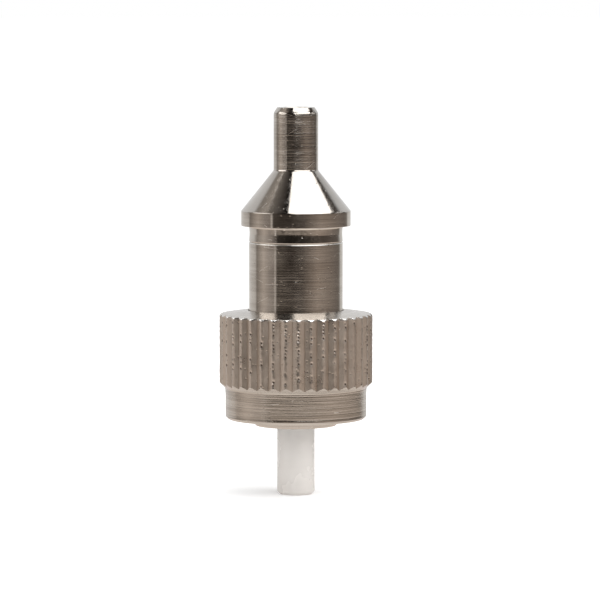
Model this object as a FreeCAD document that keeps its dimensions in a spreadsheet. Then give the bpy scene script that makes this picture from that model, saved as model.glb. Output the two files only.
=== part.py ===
import FreeCAD, Part
import os

import Sketcher

# Driving dimensions in millimetres, one cell each in the sheet. Lengths run along the axis.
# The knurl's phase is the angle in degrees from +X to a groove.
DIMENSIONS = (
    # Fibre stub: two ferrules bonded into one holder
    ("ferrule_diameter", 2.5),
    ("ferrule_length", 7.8),
    ("ferrule_chamfer", 0.2),
    ("rear_ferrule_length", 5.25),
    ("shank_diameter", 2.1),
    ("front_shank_length", 2.6),
    ("rear_shank_length", 2.2),
    ("fibre_diameter", 0.125),
    ("fibre_clearance", 0.0025),
    ("fibre_channel_diameter", 0.9),
    ("fibre_funnel_length", 0.6),
    ("flange_thickness", 1.0),
    ("flange_clearance", 0.15),
    ("flange_seat_width", 0.2),
    # Keyed frame, pressed into the front of the barrel
    ("ferrule_reach", 4.6),
    ("frame_diameter", 5.6),
    ("frame_length", 4.0),
    ("frame_tail_length", 1.0),
    ("frame_wall", 0.5),
    ("frame_chamfer", 0.25),
    ("web_thickness", 0.8),
    ("key_width", 2.0),
    ("key_length", 2.4),
    ("key_setback", 1.0),
    ("key_clearance", 0.2),
    ("rib_width", 0.8),
    ("rib_clearance", 0.1),
    ("rib_count", 2),
    # Plug body: the plain barrel above the frame
    ("barrel_diameter", 6.2),
    ("barrel_length", 8.17),
    ("barrel_wall", 0.8),
    ("socket_wall", 0.5),
    ("socket_end_gap", 0.1),
    ("joint_chamfer", 0.09),
    ("fit_clearance", 0.01),
    # Snap ring in the barrel's groove
    ("groove_setback", 0.4),
    ("groove_depth", 0.4),
    ("ring_thickness", 0.7),
    ("ring_clearance", 0.05),
    ("ring_nut_clearance", 0.1),
    ("ring_gap", 2.4),
    # Coupling nut
    ("nut_diameter", 10.15),
    ("nut_length", 6.95),
    ("nut_wall", 1.25),
    ("nut_crown", 0.26),
    ("nut_clearance", 0.2),
    ("nut_mouth_chamfer", 0.5),
    ("rim_inset", 0.4),
    ("rim_length", 2.07),
    ("rim_chamfer", 0.17),
    ("rim_land", 0.3),
    ("knurl_count", 38),
    ("knurl_phase", 2.0),
    ("knurl_depth", 0.2),
    ("knurl_land", 0.12),
    ("knurl_top_chamfer", 0.1),
    ("knurl_lower_chamfer", 0.36),
    ("thread_diameter", 8.0),
    ("thread_pitch", 0.75),
    ("relief_length", 0.9),
    ("relief_depth", 0.05),
    # Nose shell
    ("spigot_length", 2.77),
    ("spigot_wall", 0.35),
    ("spigot_chamfer", 0.12),
    ("band_height", 1.07),
    ("band_flare", 0.12),
    ("collar_diameter", 7.24),
    ("collar_height", 0.98),
    ("collar_chamfer", 0.03),
    ("cone_height", 2.74),
    ("nose_diameter", 2.95),
    ("nose_length", 4.09),
    ("nose_chamfer_height", 0.35),
    ("nose_chamfer_width", 0.24),
    ("lip_thickness", 0.35),
    ("mouth_diameter", 1.4),
    ("mouth_chamfer", 0.15),
    # Conversion sleeve and its retainer
    ("lc_ferrule_diameter", 1.25),
    ("sleeve_wall", 0.35),
    ("sleeve_bore_clearance", 0.01),
    ("sleeve_clearance", 0.05),
    ("sleeve_slot", 0.35),
    ("sleeve_chamfer", 0.08),
    ("sleeve_step_depth", 0.91),
    ("sleeve_step_thickness", 0.3),
    ("retainer_length", 1.0),
    ("retainer_clearance", 0.1),
    # Spring and the stub's float
    ("float_travel", 0.6),
    ("float_margin", 0.2),
    ("tip_margin", 0.1),
    ("spring_wire", 0.4),
    ("spring_turns", 7),
    ("spring_clearance", 0.125),
)

# A metric thread's crest lies this many pitches, on the diameter, inside its nominal size
THREAD_DEPTH_PER_PITCH = 1.0825

# Radii of the frame, the barrel, the nose's spigot and what runs inside them
FRAME = "Dims.frame_diameter / 2"
POCKET = f"({FRAME} - Dims.frame_wall)"
TAIL_SOCKET = f"({FRAME} + Dims.fit_clearance)"
BARREL = "Dims.barrel_diameter / 2"
CHAMBER = f"({BARREL} - Dims.barrel_wall)"
SOCKET = f"({BARREL} - Dims.socket_wall)"
SPIGOT = f"({SOCKET} - Dims.fit_clearance)"
COUNTERBORE = f"({SPIGOT} - Dims.spigot_wall)"
RETAINER = f"({COUNTERBORE} - Dims.fit_clearance)"
FLANGE = f"({POCKET} - Dims.flange_clearance)"
WEB_HOLE = f"({FLANGE} - Dims.flange_seat_width)"
SPRING_OUTER = f"({COUNTERBORE} - Dims.spring_clearance)"
SPRING_INNER = f"({SPRING_OUTER} - Dims.spring_wire)"
SPRING_MEAN = f"({SPRING_OUTER} - Dims.spring_wire / 2)"
HOLDER = f"({SPRING_INNER} - Dims.spring_clearance)"

# Radii of the fibre stub
FERRULE = "Dims.ferrule_diameter / 2"
SHANK = "Dims.shank_diameter / 2"
SHANK_BORE = f"({SHANK} + Dims.fit_clearance)"
FIBRE = "Dims.fibre_diameter / 2"
FIBRE_BORE = f"({FIBRE} + Dims.fibre_clearance)"
FIBRE_CHANNEL = "Dims.fibre_channel_diameter / 2"
RETAINER_BORE = f"({FERRULE} + Dims.retainer_clearance)"

# Radii of the sleeve and of the bores that house it
SLEEVE_NARROW_BORE = "(Dims.lc_ferrule_diameter / 2 + Dims.sleeve_bore_clearance)"
SLEEVE_NARROW = f"({SLEEVE_NARROW_BORE} + Dims.sleeve_wall)"
SLEEVE_WIDE_BORE = f"({FERRULE} + Dims.sleeve_bore_clearance)"
SLEEVE_WIDE = f"({SLEEVE_WIDE_BORE} + Dims.sleeve_wall)"
NARROW_HOUSING = f"({SLEEVE_NARROW} + Dims.sleeve_clearance)"
WIDE_HOUSING = f"({SLEEVE_WIDE} + Dims.sleeve_clearance)"
MOUTH = "Dims.mouth_diameter / 2"
NOSE = "Dims.nose_diameter / 2"
COLLAR = "Dims.collar_diameter / 2"

# Radii of the nut, and of the ring and key inside it
KNURL = "Dims.nut_diameter / 2"
RIM = f"({KNURL} - Dims.rim_inset)"
NUT_BORE = f"({BARREL} + Dims.nut_clearance)"
THREAD_CREST = f"(Dims.thread_diameter - {THREAD_DEPTH_PER_PITCH} * Dims.thread_pitch) / 2"
RELIEF = "(Dims.thread_diameter / 2 + Dims.relief_depth)"
GROOVE_FLOOR = f"({BARREL} - Dims.groove_depth)"
RING_INNER = f"({GROOVE_FLOOR} + Dims.ring_clearance)"
RING_OUTER = f"({THREAD_CREST} - Dims.ring_nut_clearance)"
KEY_CORNER = f"({THREAD_CREST} - Dims.key_clearance)"
KEY_REACH = f"sqrt({KEY_CORNER} ^ 2 - (Dims.key_width / 2) ^ 2)"

# Heights of the outer shape, from the ferrule's tip at zero upwards
FRAME_FRONT = "Dims.ferrule_reach"
BARREL_FRONT = f"({FRAME_FRONT} + Dims.frame_length)"
TAIL_TOP = f"({BARREL_FRONT} + Dims.frame_tail_length)"
JOINT_LINE = f"({BARREL_FRONT} + Dims.barrel_length)"
COLLAR_BASE = f"({JOINT_LINE} + Dims.band_height)"
COLLAR_TOP = f"({COLLAR_BASE} + Dims.collar_height)"
CONE_TOP = f"({COLLAR_TOP} + Dims.cone_height)"
NOSE_TOP = f"({CONE_TOP} + Dims.nose_length)"

# Heights of the snap ring and the nut that rests on it
GROOVE_BASE = f"({TAIL_TOP} + Dims.groove_setback)"
RING_BASE = f"({GROOVE_BASE} + Dims.ring_clearance)"
RING_TOP = f"({RING_BASE} + Dims.ring_thickness)"
GROOVE_TOP = f"({RING_TOP} + Dims.ring_clearance)"
NUT_TOP = f"({RING_TOP} + Dims.nut_wall)"
NUT_BASE = f"({NUT_TOP} - Dims.nut_length)"
KNURL_BASE = f"({NUT_BASE} + Dims.rim_length)"
RELIEF_BASE = f"({RING_TOP} - Dims.relief_length)"

# Heights inside the nose, from its mouth downwards
LIP_BASE = f"({NOSE_TOP} - Dims.lip_thickness)"
SLEEVE_TOP = f"({LIP_BASE} - Dims.sleeve_clearance)"
SLEEVE_STEP = f"({CONE_TOP} - Dims.sleeve_step_depth)"
HOUSING_STEP = f"({SLEEVE_STEP} + Dims.sleeve_clearance)"
SLEEVE_INNER_STEP = f"({SLEEVE_STEP} - Dims.sleeve_step_thickness)"
REAR_TIP = f"({SLEEVE_INNER_STEP} - Dims.float_travel - Dims.tip_margin)"
HOLDER_TOP = f"({REAR_TIP} - Dims.rear_ferrule_length)"
RETAINER_BASE = f"({HOLDER_TOP} + Dims.float_travel + Dims.float_margin)"
SLEEVE_BASE = f"({RETAINER_BASE} + Dims.retainer_length)"
SPIGOT_BASE = f"({JOINT_LINE} - Dims.spigot_length)"
SOCKET_FLOOR = f"({SPIGOT_BASE} - Dims.socket_end_gap)"

# Heights at the flange's seat in the frame
WEB_TOP = "Dims.ferrule_length"
WEB_BASE = f"({WEB_TOP} - Dims.web_thickness)"
FLANGE_TOP = f"({WEB_TOP} + Dims.flange_thickness)"
FRONT_SHANK_END = f"({WEB_TOP} + Dims.front_shank_length)"
REAR_SHANK_END = f"({HOLDER_TOP} - Dims.rear_shank_length)"

# A profile point on the turning axis, or at the height of the ferrule's tip
ON_AXIS = "0"
AT_TIP = "0"

doc = FreeCAD.newDocument("FibreAdapter")


def fill_sheet():
    """Write every driving dimension into the sheet, with its name as alias."""
    sheet = doc.addObject("Spreadsheet::Sheet", "Dims")
    for row, (alias, value) in enumerate(DIMENSIONS, start=1):
        sheet.set(f"A{row}", alias)
        sheet.set(f"B{row}", str(value))
        sheet.setAlias(f"B{row}", alias)
    doc.recompute()
    return sheet


def new_body(label):
    """Start one sub-part."""
    body = doc.addObject("PartDesign::Body", label)
    body.Label = label
    return body


def origin_plane(body, role):
    """The body's own origin plane with that role."""
    return next(f for f in body.Origin.OriginFeatures if f.Role == role)


def new_sketch(body, name, role, height=None, turn_angle=None):
    """A sketch on one of the body's origin planes, raised or turned where that is given."""
    sketch = body.newObject("Sketcher::SketchObject", name)
    sketch.AttachmentSupport = (origin_plane(body, role), "")
    sketch.MapMode = "FlatFace"
    if height:
        sketch.setExpression("AttachmentOffset.Base.z", height)
    if turn_angle:
        sketch.setExpression("AttachmentOffset.Rotation.Angle", turn_angle)
    return sketch


def place_point(sketch, line, coordinate, value):
    """Hold one coordinate of a line's start, by a dimension from the origin or on an axis."""
    axis = {"DistanceX": -2, "DistanceY": -1}[coordinate]
    if value == "0":
        sketch.addConstraint(Sketcher.Constraint("PointOnObject", line, 1, axis))
        return
    size = sketch.evalExpression(value)
    index = sketch.addConstraint(Sketcher.Constraint(coordinate, -1, 1, line, 1, size))
    sketch.setExpression(f"Constraints[{index}]", value)


def draw_outline(sketch, corners):
    """Draw a closed outline. A side that keeps a coordinate is held level or upright."""
    points = [
        FreeCAD.Vector(sketch.evalExpression(x), sketch.evalExpression(y), 0)
        for x, y in corners
    ]
    count = len(points)
    lines = [
        sketch.addGeometry(Part.LineSegment(points[i], points[(i + 1) % count]), False)
        for i in range(count)
    ]
    for i in range(count):
        following = lines[(i + 1) % count]
        sketch.addConstraint(Sketcher.Constraint("Coincident", lines[i], 2, following, 1))
    for i, (x, y) in enumerate(corners):
        if i and x == corners[i - 1][0]:
            sketch.addConstraint(Sketcher.Constraint("Vertical", lines[i - 1]))
        else:
            place_point(sketch, lines[i], "DistanceX", x)
        if i and y == corners[i - 1][1]:
            sketch.addConstraint(Sketcher.Constraint("Horizontal", lines[i - 1]))
        else:
            place_point(sketch, lines[i], "DistanceY", y)


def turn(body, outline):
    """Turn an outline of (radius, height) corners about the axis."""
    sketch = new_sketch(body, f"{body.Label}_profile", "XZ_Plane")
    draw_outline(sketch, outline)
    feature = body.newObject("PartDesign::Revolution", f"{body.Label}_turned")
    feature.Profile = sketch
    feature.ReferenceAxis = (sketch, ["V_Axis"])
    feature.Angle = 360
    doc.recompute()
    return feature


def upright_feature(body, kind, name, outline, base, height, turn_angle=None):
    """Pad or pocket an outline of (x, y) corners upwards from a base height."""
    before = body.Shape.Volume
    sketch = new_sketch(body, f"{name}_outline", "XY_Plane", base, turn_angle)
    draw_outline(sketch, outline)
    feature = body.newObject(f"PartDesign::{kind}", name)
    feature.Profile = sketch
    feature.setExpression("Length", height)
    feature.Reversed = kind == "Pocket"
    doc.recompute()
    grown = body.Shape.Volume - before
    if grown == 0 or (grown > 0) != (kind == "Pad"):
        raise ValueError(f"{name} changed the volume by {grown} mm3")
    return feature


def repeat_around(body, feature, count):
    """Repeat a feature evenly about the axis."""
    pattern = body.newObject("PartDesign::PolarPattern", f"{feature.Name}_pattern")
    pattern.Originals = [feature]
    pattern.Axis = (feature.Profile[0], ["N_Axis"])
    pattern.Angle = 360
    pattern.setExpression("Occurrences", count)
    body.Tip = pattern
    doc.recompute()


def slot_outline(half_width, inner, outer):
    """A rectangle across the Y axis, from an inner to an outer distance."""
    return [
        (f"-{half_width}", inner),
        (half_width, inner),
        (half_width, outer),
        (f"-{half_width}", outer),
    ]


def make_fc_ferrule():
    """White ferrule of the plug, with a shank that is bonded into the holder."""
    body = new_body("fc_ferrule")
    turn(body, [
        (FIBRE_BORE, AT_TIP),
        (f"({FERRULE} - Dims.ferrule_chamfer)", AT_TIP),
        (FERRULE, "Dims.ferrule_chamfer"),
        (FERRULE, WEB_TOP),
        (SHANK, WEB_TOP),
        (SHANK, FRONT_SHANK_END),
        (FIBRE_CHANNEL, FRONT_SHANK_END),
        (FIBRE_BORE, f"({FRONT_SHANK_END} - Dims.fibre_funnel_length)"),
    ])
    return body


def make_rear_stub_ferrule():
    """Second ferrule of the stub, tip up, inside the conversion sleeve."""
    body = new_body("rear_stub_ferrule")
    turn(body, [
        (FIBRE_BORE, REAR_TIP),
        (f"({FERRULE} - Dims.ferrule_chamfer)", REAR_TIP),
        (FERRULE, f"({REAR_TIP} - Dims.ferrule_chamfer)"),
        (FERRULE, HOLDER_TOP),
        (SHANK, HOLDER_TOP),
        (SHANK, REAR_SHANK_END),
        (FIBRE_CHANNEL, REAR_SHANK_END),
        (FIBRE_BORE, f"({REAR_SHANK_END} + Dims.fibre_funnel_length)"),
    ])
    return body


def make_fibre():
    """Glass fibre from the plug's tip to the rear ferrule's tip."""
    body = new_body("fibre")
    turn(body, [
        (ON_AXIS, AT_TIP),
        (FIBRE, AT_TIP),
        (FIBRE, REAR_TIP),
        (ON_AXIS, REAR_TIP),
    ])
    return body


def make_stub_holder():
    """Metal holder of both ferrules. Slots in its flange ride on the frame's ribs."""
    body = new_body("stub_holder")
    turn(body, [
        (SHANK_BORE, WEB_TOP),
        (FLANGE, WEB_TOP),
        (FLANGE, FLANGE_TOP),
        (HOLDER, FLANGE_TOP),
        (HOLDER, HOLDER_TOP),
        (SHANK_BORE, HOLDER_TOP),
        (SHANK_BORE, REAR_SHANK_END),
        (FIBRE_CHANNEL, REAR_SHANK_END),
        (FIBRE_CHANNEL, FRONT_SHANK_END),
        (SHANK_BORE, FRONT_SHANK_END),
    ])
    half_width = "(Dims.rib_width / 2 + Dims.rib_clearance)"
    outline = slot_outline(half_width, f"({WEB_HOLE} - Dims.rib_clearance)", POCKET)
    slot = upright_feature(body, "Pocket", "flange_slot", outline, WEB_TOP, "Dims.flange_thickness")
    repeat_around(body, slot, "Dims.rib_count")
    return body


def make_key_frame():
    """Frame around the ferrule, with the key outside and ribs inside that keep the stub from turning."""
    body = new_body("key_frame")
    turn(body, [
        (f"({FRAME} - Dims.frame_chamfer)", FRAME_FRONT),
        (FRAME, f"({FRAME_FRONT} + Dims.frame_chamfer)"),
        (FRAME, TAIL_TOP),
        (POCKET, TAIL_TOP),
        (POCKET, WEB_TOP),
        (WEB_HOLE, WEB_TOP),
        (WEB_HOLE, WEB_BASE),
        (POCKET, WEB_BASE),
        (POCKET, FRAME_FRONT),
    ])
    key_root = f"({FRAME} - Dims.frame_wall / 2)"
    key_base = f"({FRAME_FRONT} + Dims.key_setback)"
    key_outline = slot_outline("Dims.key_width / 2", key_root, KEY_REACH)
    upright_feature(body, "Pad", "frame_key", key_outline, key_base, "Dims.key_length")
    rib_root = f"({POCKET} + Dims.frame_wall / 2)"
    rib_outline = slot_outline("Dims.rib_width / 2", WEB_HOLE, rib_root)
    rib_height = "(Dims.flange_thickness - Dims.rib_clearance)"
    rib = upright_feature(body, "Pad", "flange_rib", rib_outline, WEB_TOP, rib_height)
    repeat_around(body, rib, "Dims.rib_count")
    return body


def make_plug_body():
    """Plain barrel that joins the frame's tail below and the nose's spigot above."""
    body = new_body("plug_body")
    turn(body, [
        (TAIL_SOCKET, BARREL_FRONT),
        (f"({BARREL} - Dims.joint_chamfer)", BARREL_FRONT),
        (BARREL, f"({BARREL_FRONT} + Dims.joint_chamfer)"),
        (BARREL, GROOVE_BASE),
        (GROOVE_FLOOR, GROOVE_BASE),
        (GROOVE_FLOOR, GROOVE_TOP),
        (BARREL, GROOVE_TOP),
        (BARREL, f"({JOINT_LINE} - Dims.joint_chamfer)"),
        (f"({BARREL} - Dims.joint_chamfer)", JOINT_LINE),
        (SOCKET, JOINT_LINE),
        (SOCKET, SOCKET_FLOOR),
        (CHAMBER, SOCKET_FLOOR),
        (CHAMBER, TAIL_TOP),
        (TAIL_SOCKET, TAIL_TOP),
    ])
    return body


def make_nut_retaining_ring():
    """Open snap ring in the barrel's groove. The nut's end wall rests on it."""
    body = new_body("nut_retaining_ring")
    turn(body, [
        (RING_INNER, RING_BASE),
        (RING_OUTER, RING_BASE),
        (RING_OUTER, RING_TOP),
        (RING_INNER, RING_TOP),
    ])
    outline = slot_outline("Dims.ring_gap / 2", ON_AXIS, KNURL)
    upright_feature(body, "Pocket", "ring_opening", outline, RING_BASE, "Dims.ring_thickness")
    return body


def make_coupling_nut():
    """Knurled nut with a plain rim. The thread stays a plain bore at its crests."""
    body = new_body("coupling_nut")
    turn(body, [
        (f"({RIM} - Dims.rim_chamfer - Dims.rim_land)", NUT_BASE),
        (f"({RIM} - Dims.rim_chamfer)", NUT_BASE),
        (RIM, f"({NUT_BASE} + Dims.rim_chamfer)"),
        (RIM, KNURL_BASE),
        (KNURL, f"({KNURL_BASE} + Dims.knurl_lower_chamfer)"),
        (KNURL, f"({NUT_TOP} - Dims.knurl_top_chamfer)"),
        (f"({KNURL} - Dims.knurl_top_chamfer)", NUT_TOP),
        (NUT_BORE, f"({NUT_TOP} + Dims.nut_crown)"),
        (NUT_BORE, RING_TOP),
        (RELIEF, RING_TOP),
        (RELIEF, RELIEF_BASE),
        (THREAD_CREST, RELIEF_BASE),
        (THREAD_CREST, f"({NUT_BASE} + Dims.nut_mouth_chamfer)"),
    ])
    # A vee that leaves the crests' lands. One depth past the knurl it is twice as wide.
    groove_width = f"(2 * pi * {KNURL} / Dims.knurl_count - Dims.knurl_land)"
    groove_outline = [
        (f"({KNURL} - Dims.knurl_depth)", "0"),
        (f"({KNURL} + Dims.knurl_depth)", f"-{groove_width}"),
        (f"({KNURL} + Dims.knurl_depth)", groove_width),
    ]
    knurl_length = "(Dims.nut_length - Dims.rim_length + Dims.nut_crown)"
    groove = upright_feature(
        body, "Pocket", "knurl_groove", groove_outline, KNURL_BASE, knurl_length, "Dims.knurl_phase"
    )
    repeat_around(body, groove, "Dims.knurl_count")
    return body


def make_nose_shell():
    """Nose tube, cone and collar, with a spigot that is pressed into the barrel."""
    body = new_body("nose_shell")
    turn(body, [
        (f"({SPIGOT} - Dims.spigot_chamfer)", SPIGOT_BASE),
        (SPIGOT, f"({SPIGOT_BASE} + Dims.spigot_chamfer)"),
        (SPIGOT, JOINT_LINE),
        (f"({BARREL} - Dims.joint_chamfer)", JOINT_LINE),
        (BARREL, f"({JOINT_LINE} + Dims.joint_chamfer)"),
        (BARREL, f"({COLLAR_BASE} - Dims.band_flare)"),
        (f"({BARREL} + Dims.band_flare)", COLLAR_BASE),
        (f"({COLLAR} - Dims.collar_chamfer)", COLLAR_BASE),
        (COLLAR, f"({COLLAR_BASE} + Dims.collar_chamfer)"),
        (COLLAR, COLLAR_TOP),
        (NOSE, CONE_TOP),
        (NOSE, f"({NOSE_TOP} - Dims.nose_chamfer_height)"),
        (f"({NOSE} - Dims.nose_chamfer_width)", NOSE_TOP),
        (f"({MOUTH} + Dims.mouth_chamfer)", NOSE_TOP),
        (MOUTH, f"({NOSE_TOP} - Dims.mouth_chamfer)"),
        (MOUTH, LIP_BASE),
        (NARROW_HOUSING, LIP_BASE),
        (NARROW_HOUSING, HOUSING_STEP),
        (WIDE_HOUSING, HOUSING_STEP),
        (WIDE_HOUSING, SLEEVE_BASE),
        (COUNTERBORE, SLEEVE_BASE),
        (COUNTERBORE, SPIGOT_BASE),
    ])
    return body


def make_conversion_sleeve():
    """Slotted ceramic sleeve: wide below for the stub, narrow above for the LC ferrule."""
    body = new_body("conversion_sleeve")
    turn(body, [
        (f"({SLEEVE_WIDE_BORE} + Dims.sleeve_chamfer)", SLEEVE_BASE),
        (SLEEVE_WIDE, SLEEVE_BASE),
        (SLEEVE_WIDE, SLEEVE_STEP),
        (SLEEVE_NARROW, SLEEVE_STEP),
        (SLEEVE_NARROW, SLEEVE_TOP),
        (f"({SLEEVE_NARROW_BORE} + Dims.sleeve_chamfer)", SLEEVE_TOP),
        (SLEEVE_NARROW_BORE, f"({SLEEVE_TOP} - Dims.sleeve_chamfer)"),
        (SLEEVE_NARROW_BORE, SLEEVE_INNER_STEP),
        (SLEEVE_WIDE_BORE, SLEEVE_INNER_STEP),
        (SLEEVE_WIDE_BORE, f"({SLEEVE_BASE} + Dims.sleeve_chamfer)"),
    ])
    outline = slot_outline("Dims.sleeve_slot / 2", ON_AXIS, WIDE_HOUSING)
    length = f"({SLEEVE_TOP} - {SLEEVE_BASE})"
    upright_feature(body, "Pocket", "sleeve_opening", outline, SLEEVE_BASE, length)
    return body


def make_sleeve_retainer():
    """Bush in the spigot that traps the sleeve above it and seats the spring below it."""
    body = new_body("sleeve_retainer")
    turn(body, [
        (RETAINER_BORE, RETAINER_BASE),
        (RETAINER, RETAINER_BASE),
        (RETAINER, SLEEVE_BASE),
        (RETAINER_BORE, SLEEVE_BASE),
    ])
    return body


def make_ferrule_spring():
    """Coil spring between the holder's flange and the retainer, with ends ground flat."""
    body = new_body("ferrule_spring")
    section = new_sketch(body, "wire_section", "XZ_Plane")
    centre = FreeCAD.Vector(section.evalExpression(SPRING_MEAN), section.evalExpression(FLANGE_TOP), 0)
    upwards = FreeCAD.Vector(0, 0, 1)
    radius = section.evalExpression("Dims.spring_wire / 2")
    circle = section.addGeometry(Part.Circle(centre, upwards, radius), False)
    for kind, value in (("DistanceX", SPRING_MEAN), ("DistanceY", FLANGE_TOP)):
        size = section.evalExpression(value)
        index = section.addConstraint(Sketcher.Constraint(kind, -1, 1, circle, 3, size))
        section.setExpression(f"Constraints[{index}]", value)
    index = section.addConstraint(Sketcher.Constraint("Radius", circle, radius))
    section.setExpression(f"Constraints[{index}]", "Dims.spring_wire / 2")
    coil = body.newObject("PartDesign::AdditiveHelix", "spring_coil")
    coil.Profile = section
    coil.ReferenceAxis = (section, ["V_Axis"])
    coil.Mode = "pitch-height-angle"
    seat_distance = f"({RETAINER_BASE} - {FLANGE_TOP})"
    coil.setExpression("Height", seat_distance)
    coil.setExpression("Pitch", f"{seat_distance} / Dims.spring_turns")
    doc.recompute()
    before = body.Shape.Volume
    for name, seat, outside in (
        ("lower_end", FLANGE_TOP, f"({FLANGE_TOP} - Dims.spring_wire)"),
        ("upper_end", RETAINER_BASE, f"({RETAINER_BASE} + Dims.spring_wire)"),
    ):
        sketch = new_sketch(body, f"{name}_outline", "XZ_Plane")
        draw_outline(sketch, [
            (HOLDER, seat),
            (COUNTERBORE, seat),
            (COUNTERBORE, outside),
            (HOLDER, outside),
        ])
        ground = body.newObject("PartDesign::Groove", f"{name}_ground")
        ground.Profile = sketch
        ground.ReferenceAxis = (sketch, ["V_Axis"])
        ground.Angle = 360
        doc.recompute()
        if body.Shape.Volume >= before:
            raise ValueError(f"{name} of the spring was not ground flat")
        before = body.Shape.Volume
    return body


def write_parts(bodies):
    """Check every object of the document, then write each sub-part's solid."""
    doc.recompute()
    for item in doc.Objects:
        if "Invalid" in item.State or "Error" in item.State:
            raise ValueError(f"{item.Label} failed to build")
    for body in bodies:
        if body.Shape.isNull() or not body.Shape.isValid() or len(body.Shape.Solids) != 1:
            raise ValueError(f"{body.Label} is not one valid solid")
    os.makedirs("parts", exist_ok=True)
    for body in bodies:
        body.Shape.exportStep(f"parts/{body.Label}.step")
        print(f"{body.Label}: {body.Shape.Volume:.3f} mm3")


fill_sheet()
write_parts([
    make_nose_shell(),
    make_plug_body(),
    make_key_frame(),
    make_nut_retaining_ring(),
    make_coupling_nut(),
    make_fc_ferrule(),
    make_stub_holder(),
    make_rear_stub_ferrule(),
    make_fibre(),
    make_ferrule_spring(),
    make_conversion_sleeve(),
    make_sleeve_retainer(),
])
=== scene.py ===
import math
import random

import bmesh
import bpy
from mathutils import Matrix, Vector


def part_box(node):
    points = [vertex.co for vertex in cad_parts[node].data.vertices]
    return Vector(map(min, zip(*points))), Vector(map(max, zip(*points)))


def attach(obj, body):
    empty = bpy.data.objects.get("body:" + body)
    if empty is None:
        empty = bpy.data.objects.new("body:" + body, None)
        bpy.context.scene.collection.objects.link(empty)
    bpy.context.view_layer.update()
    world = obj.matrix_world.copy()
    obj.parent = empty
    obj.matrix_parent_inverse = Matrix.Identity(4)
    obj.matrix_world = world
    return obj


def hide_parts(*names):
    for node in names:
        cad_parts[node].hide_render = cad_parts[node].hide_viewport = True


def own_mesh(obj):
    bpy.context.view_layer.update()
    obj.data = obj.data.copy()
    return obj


bl_info = {
    "name": "Fibre adapter looks",
    "version": (1, 0, 0),
    "blender": (4, 5, 0),
    "location": "3D View > Sidebar > Adapter",
    "description": (
        "Models the turned, knurled and ceramic pieces of a fibre adapter over its packed solids"
    ),
    "category": "Object",
}

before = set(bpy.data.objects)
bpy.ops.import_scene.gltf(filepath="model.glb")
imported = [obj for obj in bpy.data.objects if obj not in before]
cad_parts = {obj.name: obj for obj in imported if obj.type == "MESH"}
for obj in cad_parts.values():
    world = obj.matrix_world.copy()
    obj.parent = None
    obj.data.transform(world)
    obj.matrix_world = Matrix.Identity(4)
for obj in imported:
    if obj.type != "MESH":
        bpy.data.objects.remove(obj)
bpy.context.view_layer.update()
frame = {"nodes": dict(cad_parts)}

MM = 0.001
ORIGIN = (0, 0, 0)
MERGE_DISTANCE = 1e-7
CUT_THRESHOLD = 1e-8
ARC_STEPS = 4
SUPPORT_STEP = 0.012 * MM
SMOOTH_ANGLE = math.radians(32)
QUARTER_TURN = math.pi / 2

NOSE_LOW, NOSE_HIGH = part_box("nose_shell")
BARREL_LOW, BARREL_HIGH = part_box("plug_body")
FRAME_LOW, FRAME_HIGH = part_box("key_frame")
NUT_LOW, NUT_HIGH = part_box("coupling_nut")
RING_LOW, RING_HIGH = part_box("nut_retaining_ring")
FERRULE_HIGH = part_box("fc_ferrule")[1]
FIBRE_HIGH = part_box("fibre")[1]
SLEEVE_LOW, SLEEVE_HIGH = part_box("conversion_sleeve")


# Settings


def measure(label, note, metres):
    """A length that the frame gives, in metres."""
    return bpy.props.FloatProperty(
        name=label, description=note, default=metres, unit="LENGTH", precision=6
    )


def length(label, note, millimetres):
    """A length, given in millimetres."""
    return measure(label, note, millimetres * MM)


def amount(label, note, value):
    """A plain number."""
    return bpy.props.FloatProperty(name=label, description=note, default=value)


def share(label, note, value):
    """A number from nought to one."""
    return bpy.props.FloatProperty(
        name=label, description=note, default=value, min=0.0, max=1.0, subtype="FACTOR"
    )


def count(label, note, value):
    """A whole number."""
    return bpy.props.IntProperty(name=label, description=note, default=value, min=1)


def angle(label, note, degrees):
    """An angle, given in degrees."""
    return bpy.props.FloatProperty(
        name=label, description=note, default=math.radians(degrees), subtype="ANGLE"
    )


def colour(label, note, *rgb):
    """A colour in linear light."""
    return bpy.props.FloatVectorProperty(
        name=label, description=note, default=rgb, size=3, min=0.0, max=10.0, subtype="COLOR"
    )


def sides(value):
    """Number of sides of a turned piece."""
    return count("Segments", "Sides of each turned ring", value)


def settings(label, kind):
    """A group of settings."""
    return bpy.props.PointerProperty(type=kind, name=label, description=kind.__doc__)


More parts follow.
